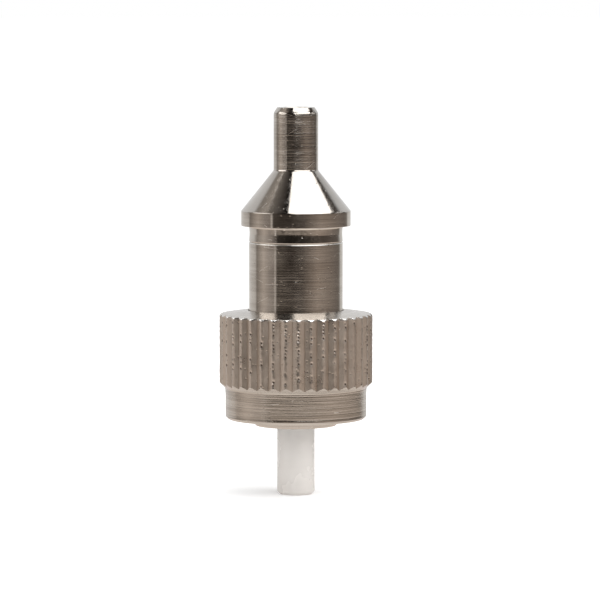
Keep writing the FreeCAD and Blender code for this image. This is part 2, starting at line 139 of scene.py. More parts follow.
class NoseSizes(bpy.types.PropertyGroup):
    """Sizes of the nose shell and of its bores"""

    segments: sides(192)
    top: measure("Top", "Height of the nose's tip", NOSE_HIGH.z)
    tube_radius: length("Tube radius", "Outer radius of the slim tube", 1.475)
    tip_height: length("Tip chamfer height", "Height of the chamfer at the tip", 0.35)
    tip_width: length("Tip chamfer width", "Width of the chamfer at the tip", 0.24)
    cone_top: length("Cone top", "Height where cone and tube meet", 21.5)
    collar_radius: measure("Collar radius", "Outer radius of the collar", NOSE_HIGH.x)
    collar_top: length("Collar top", "Height of the collar's upper edge", 18.82)
    collar_base: length("Collar base", "Height of the collar's lower face", 17.84)
    collar_chamfer: length("Collar chamfer", "Broken edge below the collar", 0.03)
    band_radius: length("Band radius", "Outer radius under the collar", 3.1)
    cove_depth: length("Cove depth", "Depth of the shallow vee in the band", 0.035)
    cove_height: length("Cove height", "Height of the vee's floor", 17.36)
    band_flare: length("Band flare", "Hollow rounding where band and collar meet", 0.12)
    joint_height: length("Joint height", "Height of the joint line with the barrel", 16.77)
    joint_rounding: length("Joint rounding", "Rounded edge at the joint line", 0.08)
    spigot_radius: length("Spigot radius", "Outer radius of the spigot in the barrel", 2.59)
    spigot_chamfer: length("Spigot chamfer", "Lead-in of the spigot", 0.12)
    base: measure("Base", "Lower end of the spigot", NOSE_LOW.z)
    mouth_radius: length("Mouth radius", "Radius of the hole in the tip", 0.7)
    mouth_chamfer: length("Mouth chamfer", "Lead-in of the hole in the tip", 0.15)
    lip_base: length("Lip base", "Height under the lip that holds the sleeve", 25.3)
    narrow_radius: length("Narrow bore", "Bore around the sleeve's narrow end", 1.035)
    bore_step: length("Bore step", "Height where the bore widens", 20.7)
    wide_radius: length("Wide bore", "Bore around the sleeve's wide end", 1.66)
    wide_base: length("Wide bore base", "Lower end of the wide bore", 16.2)
    counterbore_radius: length("Counterbore", "Radius of the spigot's inner wall", 2.24)
    cone_fillet: length("Cone fillet", "Hollow rounding where cone and tube meet", 0.2)
    collar_rounding: length("Collar rounding", "Rounding of the collar's upper edge", 0.1)
    tip_rounding: length("Tip rounding", "Rounding below the tip's chamfer", 0.5)
    rounding: length("Rounding", "Rounding of the other outer edges", 0.02)


class BarrelSizes(bpy.types.PropertyGroup):
    """Sizes of the plain barrel"""

    segments: sides(192)
    radius: measure("Radius", "Outer radius", BARREL_HIGH.x)
    base: measure("Base", "Front end of the barrel", BARREL_LOW.z)
    top: measure("Top", "Joint line with the nose", BARREL_HIGH.z)
    chamfer: length("Chamfer", "Broken edge at the front end", 0.09)
    joint_rounding: length("Joint rounding", "Rounded edge at the joint line", 0.08)
    groove_base: length("Groove base", "Lower wall of the snap ring's groove", 10.0)
    groove_top: length("Groove top", "Upper wall of the snap ring's groove", 10.8)
    groove_radius: length("Groove radius", "Radius of the groove's floor", 2.7)
    socket_radius: length("Socket radius", "Socket for the nose's spigot", 2.6)
    socket_floor: length("Socket floor", "Height of that socket's floor", 13.9)
    chamber_radius: length("Chamber radius", "Radius of the spring's chamber", 2.3)
    tail_radius: length("Tail socket radius", "Socket for the frame's tail", 2.81)
    tail_top: length("Tail socket top", "Height of that socket's floor", 9.6)
    rounding: length("Rounding", "Rounding of the outer edges", 0.02)


class FrameSizes(bpy.types.PropertyGroup):
    """Sizes of the keyed frame around the ferrule"""

    segments: sides(144)
    radius: measure("Radius", "Outer radius", FRAME_HIGH.x)
    base: measure("Base", "Front end of the frame", FRAME_LOW.z)
    top: measure("Top", "End of the tail in the barrel", FRAME_HIGH.z)
    chamfer_width: length("Chamfer width", "Width of the chamfer at the front", 0.1)
    chamfer_height: length("Chamfer height", "Height of the chamfer at the front", 0.25)
    pocket_radius: length("Pocket radius", "Inner radius", 2.3)
    web_base: length("Web base", "Lower face of the web that seats the flange", 7.0)
    web_top: length("Web top", "Upper face of that web", 7.8)
    web_radius: length("Web radius", "Radius of the hole in the web", 1.95)
    key_width: length("Key width", "Width of the key", 2.0)
    key_base: length("Key base", "Lower end of the key", 5.6)
    key_top: length("Key top", "Upper end of the key", 8.0)
    key_reach: measure("Key reach", "Distance of the key's face from the axis", FRAME_HIGH.y)
    key_bevel: length("Key bevel", "Rounding of the key's edges", 0.06)
    rounding: length("Rounding", "Rounding of the outer edges", 0.03)


class NutSizes(bpy.types.PropertyGroup):
    """Sizes of the knurled coupling nut"""

    teeth: count("Teeth", "Number of knurled teeth", 38)
    phase: angle("Phase", "Turn of the first groove from the X axis", 2.0)
    radius: measure("Knurl radius", "Radius at the crests", NUT_HIGH.x)
    depth: length("Knurl depth", "Depth of the grooves", 0.2)
    rows: count("Rows", "Rows of faces along the knurl", 40)
    pit_depth: length("Pit depth", "Depth of the pits along the crests", 0.06)
    pit_share: share("Pit share", "How many of the crests' rows are pitted", 0.36)
    crest_wander: length("Crest wander", "Unevenness of the crests", 0.01)
    base: measure("Base", "Lower end", NUT_LOW.z)
    top: length("Top", "Upper end of the teeth", 12.0)
    crown_top: measure("Crown top", "Upper edge of the hole in the end wall", NUT_HIGH.z)
    top_rounding: length("Top rounding", "Rounding of the crests at the top", 0.14)
    rim_radius: length("Rim radius", "Radius of the plain rim", 4.675)
    rim_top: length("Rim top", "Height where rim and chamfer meet", 7.12)
    lower_chamfer: length("Lower chamfer", "Height of the chamfer under the teeth", 0.36)
    rim_chamfer: length("Rim chamfer", "Chamfer of the rim's lower edge", 0.17)
    rim_land: length("Rim land", "Width of the flat lower face", 0.3)
    rim_fillet: length("Rim fillet", "Hollow rounding where rim and chamfer meet", 0.12)
    rim_flare: length("Rim flare", "How much the rim widens towards the chamfer", 0.03)
    flare_height: length("Flare height", "Height of the widening part of the rim", 0.42)
    rim_line: length("Rim line", "Depth of the line above the rim's lower edge", 0.012)
    bore_radius: length("Bore radius", "Radius of the hole in the end wall", 3.17)
    wall_base: length("Wall base", "Lower face of the end wall", 10.75)
    relief_radius: length("Relief radius", "Radius of the relief above the thread", 4.05)
    relief_base: length("Relief base", "Lower end of the relief", 9.85)
    thread_root: length("Thread root", "Outer radius of the thread", 4.0)
    thread_crest: length("Thread crest", "Inner radius of the thread", 3.594)
    thread_pitch: length("Thread pitch", "Rise of the thread in one turn", 0.75)
    thread_steps: count("Thread steps", "Faces in one turn of the thread", 96)
    rounding: length("Rounding", "Rounding of the outer edges", 0.03)


class RingSizes(bpy.types.PropertyGroup):
    """Sizes of the snap ring that holds the nut"""

    segments: sides(144)
    inner: length("Inner radius", "Inner radius", 2.75)
    outer: measure("Outer radius", "Outer radius", RING_HIGH.x)
    base: measure("Base", "Lower face", RING_LOW.z)
    top: measure("Top", "Upper face", RING_HIGH.z)
    gap: length("Gap", "Width of the opening", 2.4)
    rounding: length("Rounding", "Rounding of the edges", 0.08)


class FerruleSizes(bpy.types.PropertyGroup):
    """Sizes of the white ferrule and the fibre in it"""

    segments: sides(160)
    radius: measure("Radius", "Outer radius", FERRULE_HIGH.x)
    chamfer: length("Chamfer", "Chamfer of the tip", 0.2)
    shank_base: length("Shank base", "Height where the shank starts", 7.8)
    shank_radius: length("Shank radius", "Radius of the shank in the holder", 1.05)
    top: measure("Top", "End of the shank", FERRULE_HIGH.z)
    funnel_radius: length("Funnel radius", "Radius of the funnel for the fibre", 0.45)
    funnel_base: length("Funnel base", "Lower end of the funnel", 9.8)
    bore_radius: length("Bore radius", "Radius of the hole for the fibre", 0.065)
    rounding: length("Rounding", "Rounding of the tip's edges", 0.06)
    fibre_segments: count("Fibre segments", "Sides of the fibre", 32)
    fibre_radius: length("Fibre radius", "Radius of the fibre", 0.0625)
    fibre_top: measure("Fibre top", "End of the fibre", FIBRE_HIGH.z)
    fibre_rounding: length("Fibre rounding", "Polished edge of the fibre's ends", 0.012)


class SleeveSizes(bpy.types.PropertyGroup):
    """Sizes of the slotted ceramic sleeve"""

    segments: sides(144)
    base: measure("Base", "Lower end", SLEEVE_LOW.z)
    top: measure("Top", "Upper end", SLEEVE_HIGH.z)
    wide_outer: length("Wide outer radius", "Outer radius of the wide end", 1.61)
    wide_bore: length("Wide bore radius", "Bore of the wide end", 1.26)
    narrow_outer: length("Narrow outer radius", "Outer radius of the narrow end", 0.985)
    narrow_bore: length("Narrow bore radius", "Bore of the narrow end", 0.635)
    outer_step: length("Outer step", "Height of the step outside", 20.65)
    inner_step: length("Inner step", "Height of the step inside", 20.35)
    chamfer: length("Chamfer", "Lead-in of both bores", 0.08)
    slot: length("Slot", "Width of the slot", 0.35)
    rounding: length("Rounding", "Rounding of the outer edges", 0.04)


class SpringSizes(bpy.types.PropertyGroup):
    """Sizes of the coil spring behind the ferrule"""

    wire_sides: count("Wire sides", "Sides of the wire", 16)
    wire_radius: length("Wire radius", "Radius of the wire", 0.2)
    coil_radius: length("Coil radius", "Radius of the coil's centre line", 1.915)
    turns: count("Turns", "Turns between the seats", 7)
    turn_steps: count("Steps in a turn", "Faces along one turn", 48)
    base: length("Base", "Lower seat", 8.8)
    top: length("Top", "Upper seat", 15.2)
    travel: length("Travel", "How far the ferrule pushes the lower seat", 0.6)


class FinishColours(bpy.types.PropertyGroup):
    """Colours of the finishes"""

    nickel: colour("Nickel", "Warm nickel plate", 0.66, 0.615, 0.565)
    nickel_dark: colour("Nickel in lines", "Nickel plate in lines and pits", 0.47, 0.425, 0.38)
    knurl: colour("Knurl", "Nickel plate on the knurl's flanks", 0.73, 0.655, 0.59)
    # Darker knurl colour: for the rolled grain and dents, and as painted shade along the grooves'
    # floors
    knurl_grain_and_groove_shade: colour(
        "Knurl in grooves", "Nickel plate along the knurl's grooves", 0.5, 0.435, 0.375
    )
    # Knurl edge: bright worn nickel, and also a painted highlight that stands in for the glints
    # along the teeth's rounded tops
    knurl_edge: colour("Knurl edge", "Bright worn edges", 0.96, 0.94, 0.91)
    # Near-black colour in the pressed pits along the crests: painted shade in the pits
    knurl_pit_shade: colour("Knurl pits", "Worn pits along the crests", 0.1, 0.075, 0.06)
    zirconia: colour("Zirconia", "White ceramic", 0.74, 0.705, 0.67)
    zirconia_dark: colour("Zirconia shade", "Ceramic in grinding lines", 0.67, 0.635, 0.6)
    steel: colour("Steel", "Spring and stainless steel", 0.58, 0.585, 0.59)
    steel_dark: colour("Steel in lines", "Steel in drawing lines", 0.4, 0.405, 0.41)
    glass: colour("Glass", "Fibre glass", 0.9, 0.94, 0.96)
    glass_core: colour("Glass core", "Fibre's core", 0.55, 0.62, 0.66)


class StageSettings(bpy.types.PropertyGroup):
    """Camera, floor and light"""

    target: bpy.props.FloatVectorProperty(
        name="Target", description="Point that the camera looks at",
        default=(0.00027, 0.0, 0.0129),
        size=3, subtype="XYZ", unit="LENGTH", precision=6,
    )
    distance: length("Distance", "Distance of the camera from its target", 260)
    elevation: angle("Elevation", "Height of the camera above the horizon", 4.7)
    half_width: length("Half width", "Half the width of the view at the target", 19.85)
    floor_colour: colour("Floor", "Pale floor", 0.92, 0.92, 0.92)
    floor_lift: share(
        "Floor lift", "Light that the camera sees in the far floor besides the lamps", 0.56
    )
    near_lift: share("Near lift", "The same at the object's foot, low enough for its shadow", 0.2)
    lift_reach: length("Lift reach", "Distance from the foot at which the far lift is reached", 160)
    ambient: amount("Ambient", "Strength of the light from all sides", 0.55)
    glow: amount("Glow", "Brightness of the softboxes' faces", 2.3)
    softbox_distance: length("Softbox distance", "Distance of the side softboxes", 160)
    surround_radius: length("Surround radius", "Distance of the cards around the object", 300)


class AdapterSettings(bpy.types.PropertyGroup):
    """All sizes, colours and stage settings"""

    nose: settings("Nose shell", NoseSizes)
    barrel: settings("Barrel", BarrelSizes)
    frame: settings("Key frame", FrameSizes)
    nut: settings("Coupling nut", NutSizes)
    ring: settings("Snap ring", RingSizes)
    ferrule: settings("Ferrule", FerruleSizes)
    sleeve: settings("Sleeve", SleeveSizes)
    spring: settings("Spring", SpringSizes)
    colours: settings("Colours", FinishColours)
    stage: settings("Stage", StageSettings)


# Modelling steps that several pieces use


def rounded_outline(corners):
    """Turn (radius, height, rounding) corners into points, with an arc at each rounded one."""
    points = []
    for i, corner in enumerate(corners):
        place = Vector(corner[:2])
        if len(corner) == 2:
            points.append(place)
            continue
        back = (Vector(corners[i - 1][:2]) - place).normalized()
        ahead = (Vector(corners[(i + 1) % len(corners)][:2]) - place).normalized()
        half = back.angle(ahead) / 2
        reach = corner[2] / math.tan(half)
        centre = place + (back + ahead).normalized() * corner[2] / math.sin(half)
        first = place + back * reach - centre
        last = place + ahead * reach - centre
        sweep = first.angle_signed(last)
        points.append(centre + first + back * SUPPORT_STEP)
        for step in range(ARC_STEPS + 1):
            turned = first.copy()
            turned.rotate(Matrix.Rotation(-sweep * step / ARC_STEPS, 2))
            points.append(centre + turned)
        points.append(centre + last + ahead * SUPPORT_STEP)
    return points


def start_piece(name, segments, radius):
    """Add a circle about the axis as the start of a piece, and open it for editing."""
    bpy.ops.object.select_all(action="DESELECT")
    bpy.context.tool_settings.mesh_select_mode = (True, False, False)
    bpy.ops.mesh.primitive_circle_add(vertices=segments, radius=radius, enter_editmode=True)
    piece = bpy.context.object
    piece.name = name
    piece.data.name = name
    return piece


def turn_piece(name, corners, segments):
    """Extrude a circle through all points of a closed outline, and close it on its start."""
    points = rounded_outline(corners)
    piece = start_piece(name, segments, points[0].x)
    bpy.ops.transform.translate(value=(0, 0, points[0].y))
    for here, there in zip(points, points[1:] + points[:1]):
        extrude((0, 0, there.y - here.y))
        widen(there.x / here.x)
    tidy_mesh()
    return piece


def extrude(shift):
    """Extrude the selection by a shift."""
    bpy.ops.mesh.extrude_region_move(TRANSFORM_OT_translate={"value": shift})


def stretch(scale, centre=ORIGIN):
    """Scale the selection by one factor for each axis."""
    bpy.ops.transform.resize(value=scale, center_override=centre)


def widen(scale):
    """Scale the selection's distance from the axis."""
    stretch((scale, scale, 1))


def turn_selection(turn, axis):
    """Turn the selection about one axis."""
    bpy.ops.transform.rotate(value=turn, orient_axis=axis, center_override=ORIGIN)


def tidy_mesh():
    """Merge doubles and turn all faces outwards, in edit mode."""
    bpy.ops.mesh.select_all(action="SELECT")
    bpy.ops.mesh.remove_doubles(threshold=MERGE_DISTANCE)
    bpy.ops.mesh.normals_make_consistent(inside=False)


def select_parts(piece, kind, test):
    """Select the points, edges or faces of the open piece for which the test holds."""
    bpy.ops.mesh.select_mode(type=kind)
    bpy.ops.mesh.select_all(action="DESELECT")
    mesh = bmesh.from_edit_mesh(piece.data)
    parts = {"VERT": mesh.verts, "EDGE": mesh.edges, "FACE": mesh.faces}[kind]
    chosen = [part for part in parts if test(part)]
    if not chosen:
        raise ValueError(f"{piece.name}: nothing was found to work on")
    for part in chosen:
        part.select_set(True)
    mesh.select_flush_mode()
    bmesh.update_edit_mesh(piece.data)


def select_faces(piece, test):
    """Select the faces of the open piece for which the test of middle and normal holds."""
    select_parts(piece, "FACE", lambda face: test(face.calc_center_median(), face.normal))


def cut_sides(piece, half, test):
    """Cut some faces upright on both sides of the key's middle."""
    for side in (-half, half):
        select_faces(piece, test)
        bpy.ops.mesh.bisect(
            plane_co=(side, 0, 0), plane_no=(1, 0, 0), threshold=CUT_THRESHOLD
        )


def cut_slot(piece, width):
    """Cut a straight slot through the wall on the key's side, and close its two walls."""
    half = width / 2
    near = MERGE_DISTANCE * 10
    cut_sides(piece, half, lambda middle, normal: middle.y > 0)
    select_faces(piece, lambda middle, normal: middle.y > 0 and abs(middle.x) < half)
    bpy.ops.mesh.delete(type="FACE")
    for side in (-half, half):
        select_parts(piece, "EDGE", lambda edge: edge.is_boundary and all(
            abs(point.co.x - side) < near for point in edge.verts
        ))
        bpy.ops.mesh.edge_face_add()
    tidy_mesh()


def sweep_helix(piece, pitch, turns, steps):
    """Sweep an open section along a right-handed helix, and close both ends."""
    screw = piece.modifiers.new("Helix", "SCREW")
    screw.axis = "Z"
    screw.screw_offset = pitch
    screw.iterations = turns
    screw.steps = steps
    screw.render_steps = steps
    screw.use_merge_vertices = False
    bpy.ops.object.modifier_apply(modifier=screw.name)
    bpy.ops.object.mode_set(mode="EDIT")
    bpy.ops.mesh.select_all(action="DESELECT")
    bpy.ops.mesh.select_mode(type="EDGE")
    bpy.ops.mesh.select_non_manifold()
    bpy.ops.mesh.fill_holes(sides=0)
    tidy_mesh()
    bpy.ops.object.mode_set(mode="OBJECT")


def close_piece(piece, body, node, slot, finish, *others):
    """Dress the piece, leave edit mode, and seat it in the frame.

    The first finish covers the piece, and each other one the faces for which its test holds.
    """
    piece.data.materials.append(finish)
    for number, (material, test) in enumerate(others, 1):
        piece.data.materials.append(material)
        select_faces(piece, test)
        piece.active_material_index = number
        bpy.ops.object.material_slot_assign()
    bpy.ops.object.mode_set(mode="OBJECT")
    bpy.ops.object.shade_smooth_by_angle(angle=SMOOTH_ANGLE)
    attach(piece, body)
    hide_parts(node)


def radius_of(place):
    """Distance of a place from the axis."""
    return math.hypot(place.x, place.y)


# Shader groups and finishes


# Colour sockets of a mix node, by number, because each kind of data has the same names
MIX_COLOURS = (6, 7)
MIX_RESULT = 2


class Graph:
    """Adds nodes to one tree and joins their sockets."""

    def __init__(self, tree):
        self.tree = tree

    def feed(self, node, inputs):
        """Join or set inputs of a node."""
        for name, value in inputs.items():
            if isinstance(value, bpy.types.NodeSocket):
                self.tree.links.new(value, node.inputs[name])
            else:
                node.inputs[name].default_value = value
        return node

    def add(self, kind, inputs=None, **options):
        """Add a node with its options and inputs."""
        node = self.tree.nodes.new(kind)
        for name, value in options.items():
            setattr(node, name, value)
        return self.feed(node, inputs or {})

    def math(self, operation, first, second=0.0, clamp=False):
        """One operation on numbers or sockets."""
        inputs = {0: first, 1: second}
        node = self.add("ShaderNodeMath", inputs, operation=operation, use_clamp=clamp)
        return node.outputs["Value"]

    def plus(self, first, second):
        """A sum."""
        return self.math("ADD", first, second)

    def minus(self, first, second):
        """A difference."""
        return self.math("SUBTRACT", first, second)

    def times(self, first, second):
        """A product."""
        return self.math("MULTIPLY", first, second)

    def remap(self, value, low, high, new_low=0.0, new_high=1.0):
        """A value mapped from one range to another, and held inside it."""
        return self.add("ShaderNodeMapRange", {
            "Value": value, "From Min": low, "From Max": high,
            "To Min": new_low, "To Max": new_high,
        }).outputs["Result"]

    def blend(self, factor, first, second, kind="MIX"):
        """Two colours blended by a factor."""
        node = self.add("ShaderNodeMix", {"Factor": factor}, data_type="RGBA", blend_type=kind)
        for index, value in zip(MIX_COLOURS, (first, second)):
            joined = isinstance(value, bpy.types.NodeSocket)
            self.feed(node, {index: value if joined else (*value, 1.0)})
        return node.outputs[MIX_RESULT]

    def object_place(self):
        """The place in the object's own frame."""
        return self.add("ShaderNodeTexCoord").outputs["Object"]

    def parts(self, vector):
        """The three parts of a vector."""
        return self.add("ShaderNodeSeparateXYZ", {"Vector": vector}).outputs

    def vector(self, **parts):
        """A vector from its parts."""
        return self.add("ShaderNodeCombineXYZ", parts).outputs["Vector"]

    def span(self, vector):
        """Length of a vector."""
        return self.add("ShaderNodeVectorMath", {0: vector}, operation="LENGTH").outputs["Value"]

    def radius(self, parts):
        """Distance from the axis, from the parts of a place."""
        return self.span(self.vector(X=parts["X"], Y=parts["Y"]))

    def noise(self, vector, scale, detail, roughness):
        """Soft noise from nought to one."""
        return self.add("ShaderNodeTexNoise", {
            "Vector": vector, "Scale": scale, "Detail": detail, "Roughness": roughness,
        }).outputs["Fac"]

    def bump(self, relief):
        """A normal that follows a relief in metres."""
        return self.add("ShaderNodeBump", {
            "Height": relief, "Distance": 1.0, "Strength": 1.0,
        }).outputs["Normal"]


def turning_lines(graph, given):
    """Lines that a lathe leaves around the axis: fine lines and broad bands."""
    parts = graph.parts(given["Vector"])
    across = graph.times(parts["X"], given["Break"])
    along = graph.times(parts["Y"], given["Break"])
    advance = graph.plus(parts["Z"], graph.radius(parts))
    results = {}
    for label, coarseness, detail in (("Lines", 1.0, 3.0), ("Bands", 0.16, 2.0)):
        height = graph.times(advance, graph.times(given["Fineness"], coarseness))
        place = graph.vector(X=across, Y=along, Z=height)
        results[label] = graph.noise(place, 1.0, detail, 0.6)
    return results


def fine_scratches(graph, given):
    """Short straight scratches on a round piece, at most one in each cell around it."""
    parts = graph.parts(given["Vector"])
    bearing = graph.math("ARCTAN2", parts["X"], graph.times(parts["Y"], -1.0))
    around = graph.times(graph.times(bearing, graph.radius(parts)), given["Scale"])
    place = graph.vector(X=around, Y=graph.times(parts["Z"], given["Scale"]))
    cells = graph.add(
        "ShaderNodeTexVoronoi", {"Vector": place, "Scale": 1.0}, voronoi_dimensions="2D"
    ).outputs
    ends = {0: place, 1: cells["Position"]}
    shift = graph.add("ShaderNodeVectorMath", ends, operation="SUBTRACT").outputs["Vector"]
    aside = graph.parts(shift)
    pick = graph.add("ShaderNodeSeparateColor", {"Color": cells["Color"]}).outputs
    turn = graph.times(graph.minus(pick["Red"], 0.5), given["Slant"])
    cosine, sine = graph.math("COSINE", turn), graph.math("SINE", turn)
    along = graph.plus(graph.times(aside["X"], cosine), graph.times(aside["Y"], sine))
    across = graph.minus(graph.times(aside["Y"], cosine), graph.times(aside["X"], sine))
    reach = graph.times(pick["Green"], given["Length"])
    inside = graph.math("LESS_THAN", graph.math("ABSOLUTE", along), reach)
    thin = graph.math("LESS_THAN", graph.math("ABSOLUTE", across), given["Width"])
    kept = graph.math("LESS_THAN", pick["Blue"], given["Share"])
    return {"Mask": graph.times(graph.times(inside, thin), kept)}


def small_pits(graph, given):
    """Scattered round pits."""
    inputs = {"Vector": given["Vector"], "Scale": given["Scale"]}
    cells = graph.add("ShaderNodeTexVoronoi", inputs).outputs
    pick = graph.add("ShaderNodeSeparateColor", {"Color": cells["Color"]}).outputs
    chosen = graph.math("LESS_THAN", pick["Red"], given["Share"])
    return {"Mask": graph.times(chosen, graph.remap(cells["Distance"], 0.12, 0.34, 1.0, 0.0))}


def handling_haze(graph, given):
    """Soft patches where the surface is slightly duller."""
    noise = graph.noise(given["Vector"], given["Scale"], 4.0, 0.55)
    return {"Haze": graph.remap(noise, 0.35, 0.65)}


def new_group(name, build, labels):
    """Make a shader group with a vector and some numbers as its inputs."""
    group = bpy.data.node_groups.new(name, "ShaderNodeTree")
    sockets = group.interface
    sockets.new_socket(name="Vector", in_out="INPUT", socket_type="NodeSocketVector")
    for label in labels:
        sockets.new_socket(name=label, in_out="INPUT", socket_type="NodeSocketFloat")
    graph = Graph(group)
    results = build(graph, graph.add("NodeGroupInput").outputs)
    for label in results:
        sockets.new_socket(name=label, in_out="OUTPUT", socket_type="NodeSocketFloat")
    graph.add("NodeGroupOutput", results)
    return group


def place_group(graph, build, vector, **values):
    """Place a shared group in a finish with its own values, and make it on its first use."""
    name = build.__name__.replace("_", " ").capitalize()
    group = bpy.data.node_groups.get(name) or new_group(name, build, values)
    return graph.add("ShaderNodeGroup", {"Vector": vector, **values}, node_tree=group).outputs


def make_finish(name, build, **look):
    """The material of that name, which its build function makes on its first use."""
    material = bpy.data.materials.get(name)
    if material is None:
        material = bpy.data.materials.new(name)
        material.use_nodes = True
        graph = Graph(material.node_tree)
        shader = graph.tree.nodes["Principled BSDF"]
        colours = bpy.context.scene.adapter.colours
        graph.feed(shader, build(graph, graph.object_place(), colours, **look))
    return material


# Each metal: roughness, stretch of its highlights around the axis, lines per metre, depth of
# the lines in millimetres, and where they differ from metal_look's defaults, its marks
METALS = {
    # Barrel and frame: smooth enough to mirror the studio around the axis
    "turned nickel": dict(
        roughness=0.13, highlight=0.85, fineness=10000.0, depth=0.0072, breaks=220.0, streaks=0.45
    ),
    # Collar: faint lines
    "burnished nickel": dict(
        roughness=0.12, highlight=0.8, fineness=10000.0, depth=0.004, breaks=220.0, streaks=0.45
    ),
    # Nose tube: plain lines
    "lined nickel": dict(
        roughness=0.15, highlight=0.85, fineness=9000.0, depth=0.016, breaks=160.0, streaks=0.8
    ),
    # Nut's rim: strong lines
    "brushed nickel": dict(
        roughness=0.18, highlight=0.6, fineness=15000.0, depth=0.0165,
        scratches=2.0, breaks=150.0, streaks=1.0,
    ),
    # Nut's end face and chamfers: coarse lines
    "faced nickel": dict(
        roughness=0.24, highlight=0.3, fineness=9000.0, depth=0.012, breaks=200.0, streaks=0.4
    ),
    # Barrel's edge at the joint line: worn bright, and lightened as a painted highlight along the
    # joint line
    "worn nickel with painted highlight": dict(
        roughness=0.32, highlight=0.0, fineness=9000.0, depth=0.002,
        light="knurl_edge", dark="nickel",
    ),
    # Cone, tip and band
    "polished nickel": dict(
        roughness=0.1, highlight=0.0, fineness=8000.0, depth=0.0001, scratches=0.3, pits=0.14,
        pit_shade=0.0, streaks=0.1, haze_scale=3600.0, haze_share=0.1,
    ),
    # Bores
    "inner nickel": dict(roughness=0.35, highlight=0.5, fineness=6000.0, depth=0.0012),
    "spring steel": dict(
        roughness=0.3, highlight=0.4, fineness=9000.0, depth=0.0006,
        light="steel", dark="steel_dark",
    ),
    "stainless steel": dict(
        roughness=0.28, highlight=0.4, fineness=9000.0, depth=0.0006,
        light="steel", dark="steel_dark",
    ),
}
SCRATCH_CELLS = {"Scale": 900.0, "Slant": 1.4, "Length": 0.6, "Width": 0.012, "Share": 0.3}
SCRATCH_DEPTH = 0.002 * MM
SCRATCH_DULLNESS = 0.15
METAL_PIT_SCALE = 5200.0
METAL_PIT_DEPTH = 0.006 * MM
HAZE_MARGIN = 0.03
# Noise between which bands and lines darken the metal, and how much the bands do
BAND_RANGE = (0.38, 0.68)
LINE_RANGE = (0.4, 0.7)
BAND_SHADE = 0.55


def metal_look(
    graph, vector, colours, roughness, highlight, fineness, depth,
    light="nickel", dark="nickel_dark", scratches=0.5, pits=0.1, pit_shade=0.9,
    breaks=230.0, streaks=0.25, haze_scale=420.0, haze_share=0.07,
):
    """Bare or plated metal with turning lines, scratches, pits and handling haze."""
    lines = place_group(graph, turning_lines, vector, Fineness=fineness, Break=breaks)
    scratch = place_group(graph, fine_scratches, vector, **SCRATCH_CELLS)["Mask"]
    pit = place_group(graph, small_pits, vector, Scale=METAL_PIT_SCALE, Share=pits)["Mask"]
    haze = place_group(graph, handling_haze, vector, Scale=haze_scale)["Haze"]
    shade = graph.remap(lines["Bands"], *BAND_RANGE, 0.0, BAND_SHADE)
    shade = graph.plus(shade, graph.remap(lines["Lines"], *LINE_RANGE, 0.0, streaks))
    shade = graph.math("MAXIMUM", shade, graph.times(pit, pit_shade), clamp=True)
    rough = graph.plus(roughness - HAZE_MARGIN, graph.times(haze, haze_share))
    relief = graph.times(lines["Lines"], depth * MM)
    relief = graph.minus(relief, graph.times(scratch, scratches * SCRATCH_DEPTH))
    relief = graph.minus(relief, graph.times(pit, METAL_PIT_DEPTH))
    around = graph.add("ShaderNodeTangent", direction_type="RADIAL", axis="Z")
    return {
        "Base Color": graph.blend(shade, getattr(colours, light), getattr(colours, dark)),
        "Roughness": graph.plus(rough, graph.times(scratch, SCRATCH_DULLNESS)),
        "Normal": graph.bump(relief),
        "Tangent": around.outputs["Tangent"],
        "Metallic": 1.0,
        "Anisotropic": highlight,
        "Anisotropic Rotation": 0.25,
    }


def metal(name):
    """One of the metals."""
    return make_finish(name, metal_look, **METALS[name])


def ceramic_look(graph, vector, colours):
    """Ground white ceramic."""
    lines = place_group(graph, turning_lines, vector, Fineness=7000.0, Break=160.0)
    haze = place_group(graph, handling_haze, vector, Scale=300.0)["Haze"]
    shade = graph.times(graph.remap(lines["Bands"], 0.35, 0.7), 0.35)
    shade = graph.plus(shade, graph.times(haze, 0.2))
    return {
        "Base Color": graph.blend(shade, colours.zirconia, colours.zirconia_dark),
        "Roughness": graph.plus(0.24, graph.times(haze, 0.06)),
        "Normal": graph.bump(graph.times(lines["Lines"], 0.0005 * MM)),
        "IOR": 1.9,
    }


def ceramic():
    """Finish of the ferrules and the sleeve."""
    return make_finish("ground zirconia", ceramic_look)


def glass_look(graph, vector, colours):
    """Clear fibre with a denser core."""
    radius = graph.radius(graph.parts(vector))
    core = graph.remap(radius, 0.004 * MM, 0.03 * MM, 1.0, 0.0)
    haze = place_group(graph, handling_haze, vector, Scale=9000.0)["Haze"]
    return {
        "Base Color": graph.blend(core, colours.glass, colours.glass_core),
        "Roughness": graph.plus(0.05, graph.times(haze, 0.08)),
        "Transmission Weight": 0.6,
        "IOR": 1.46,
    }


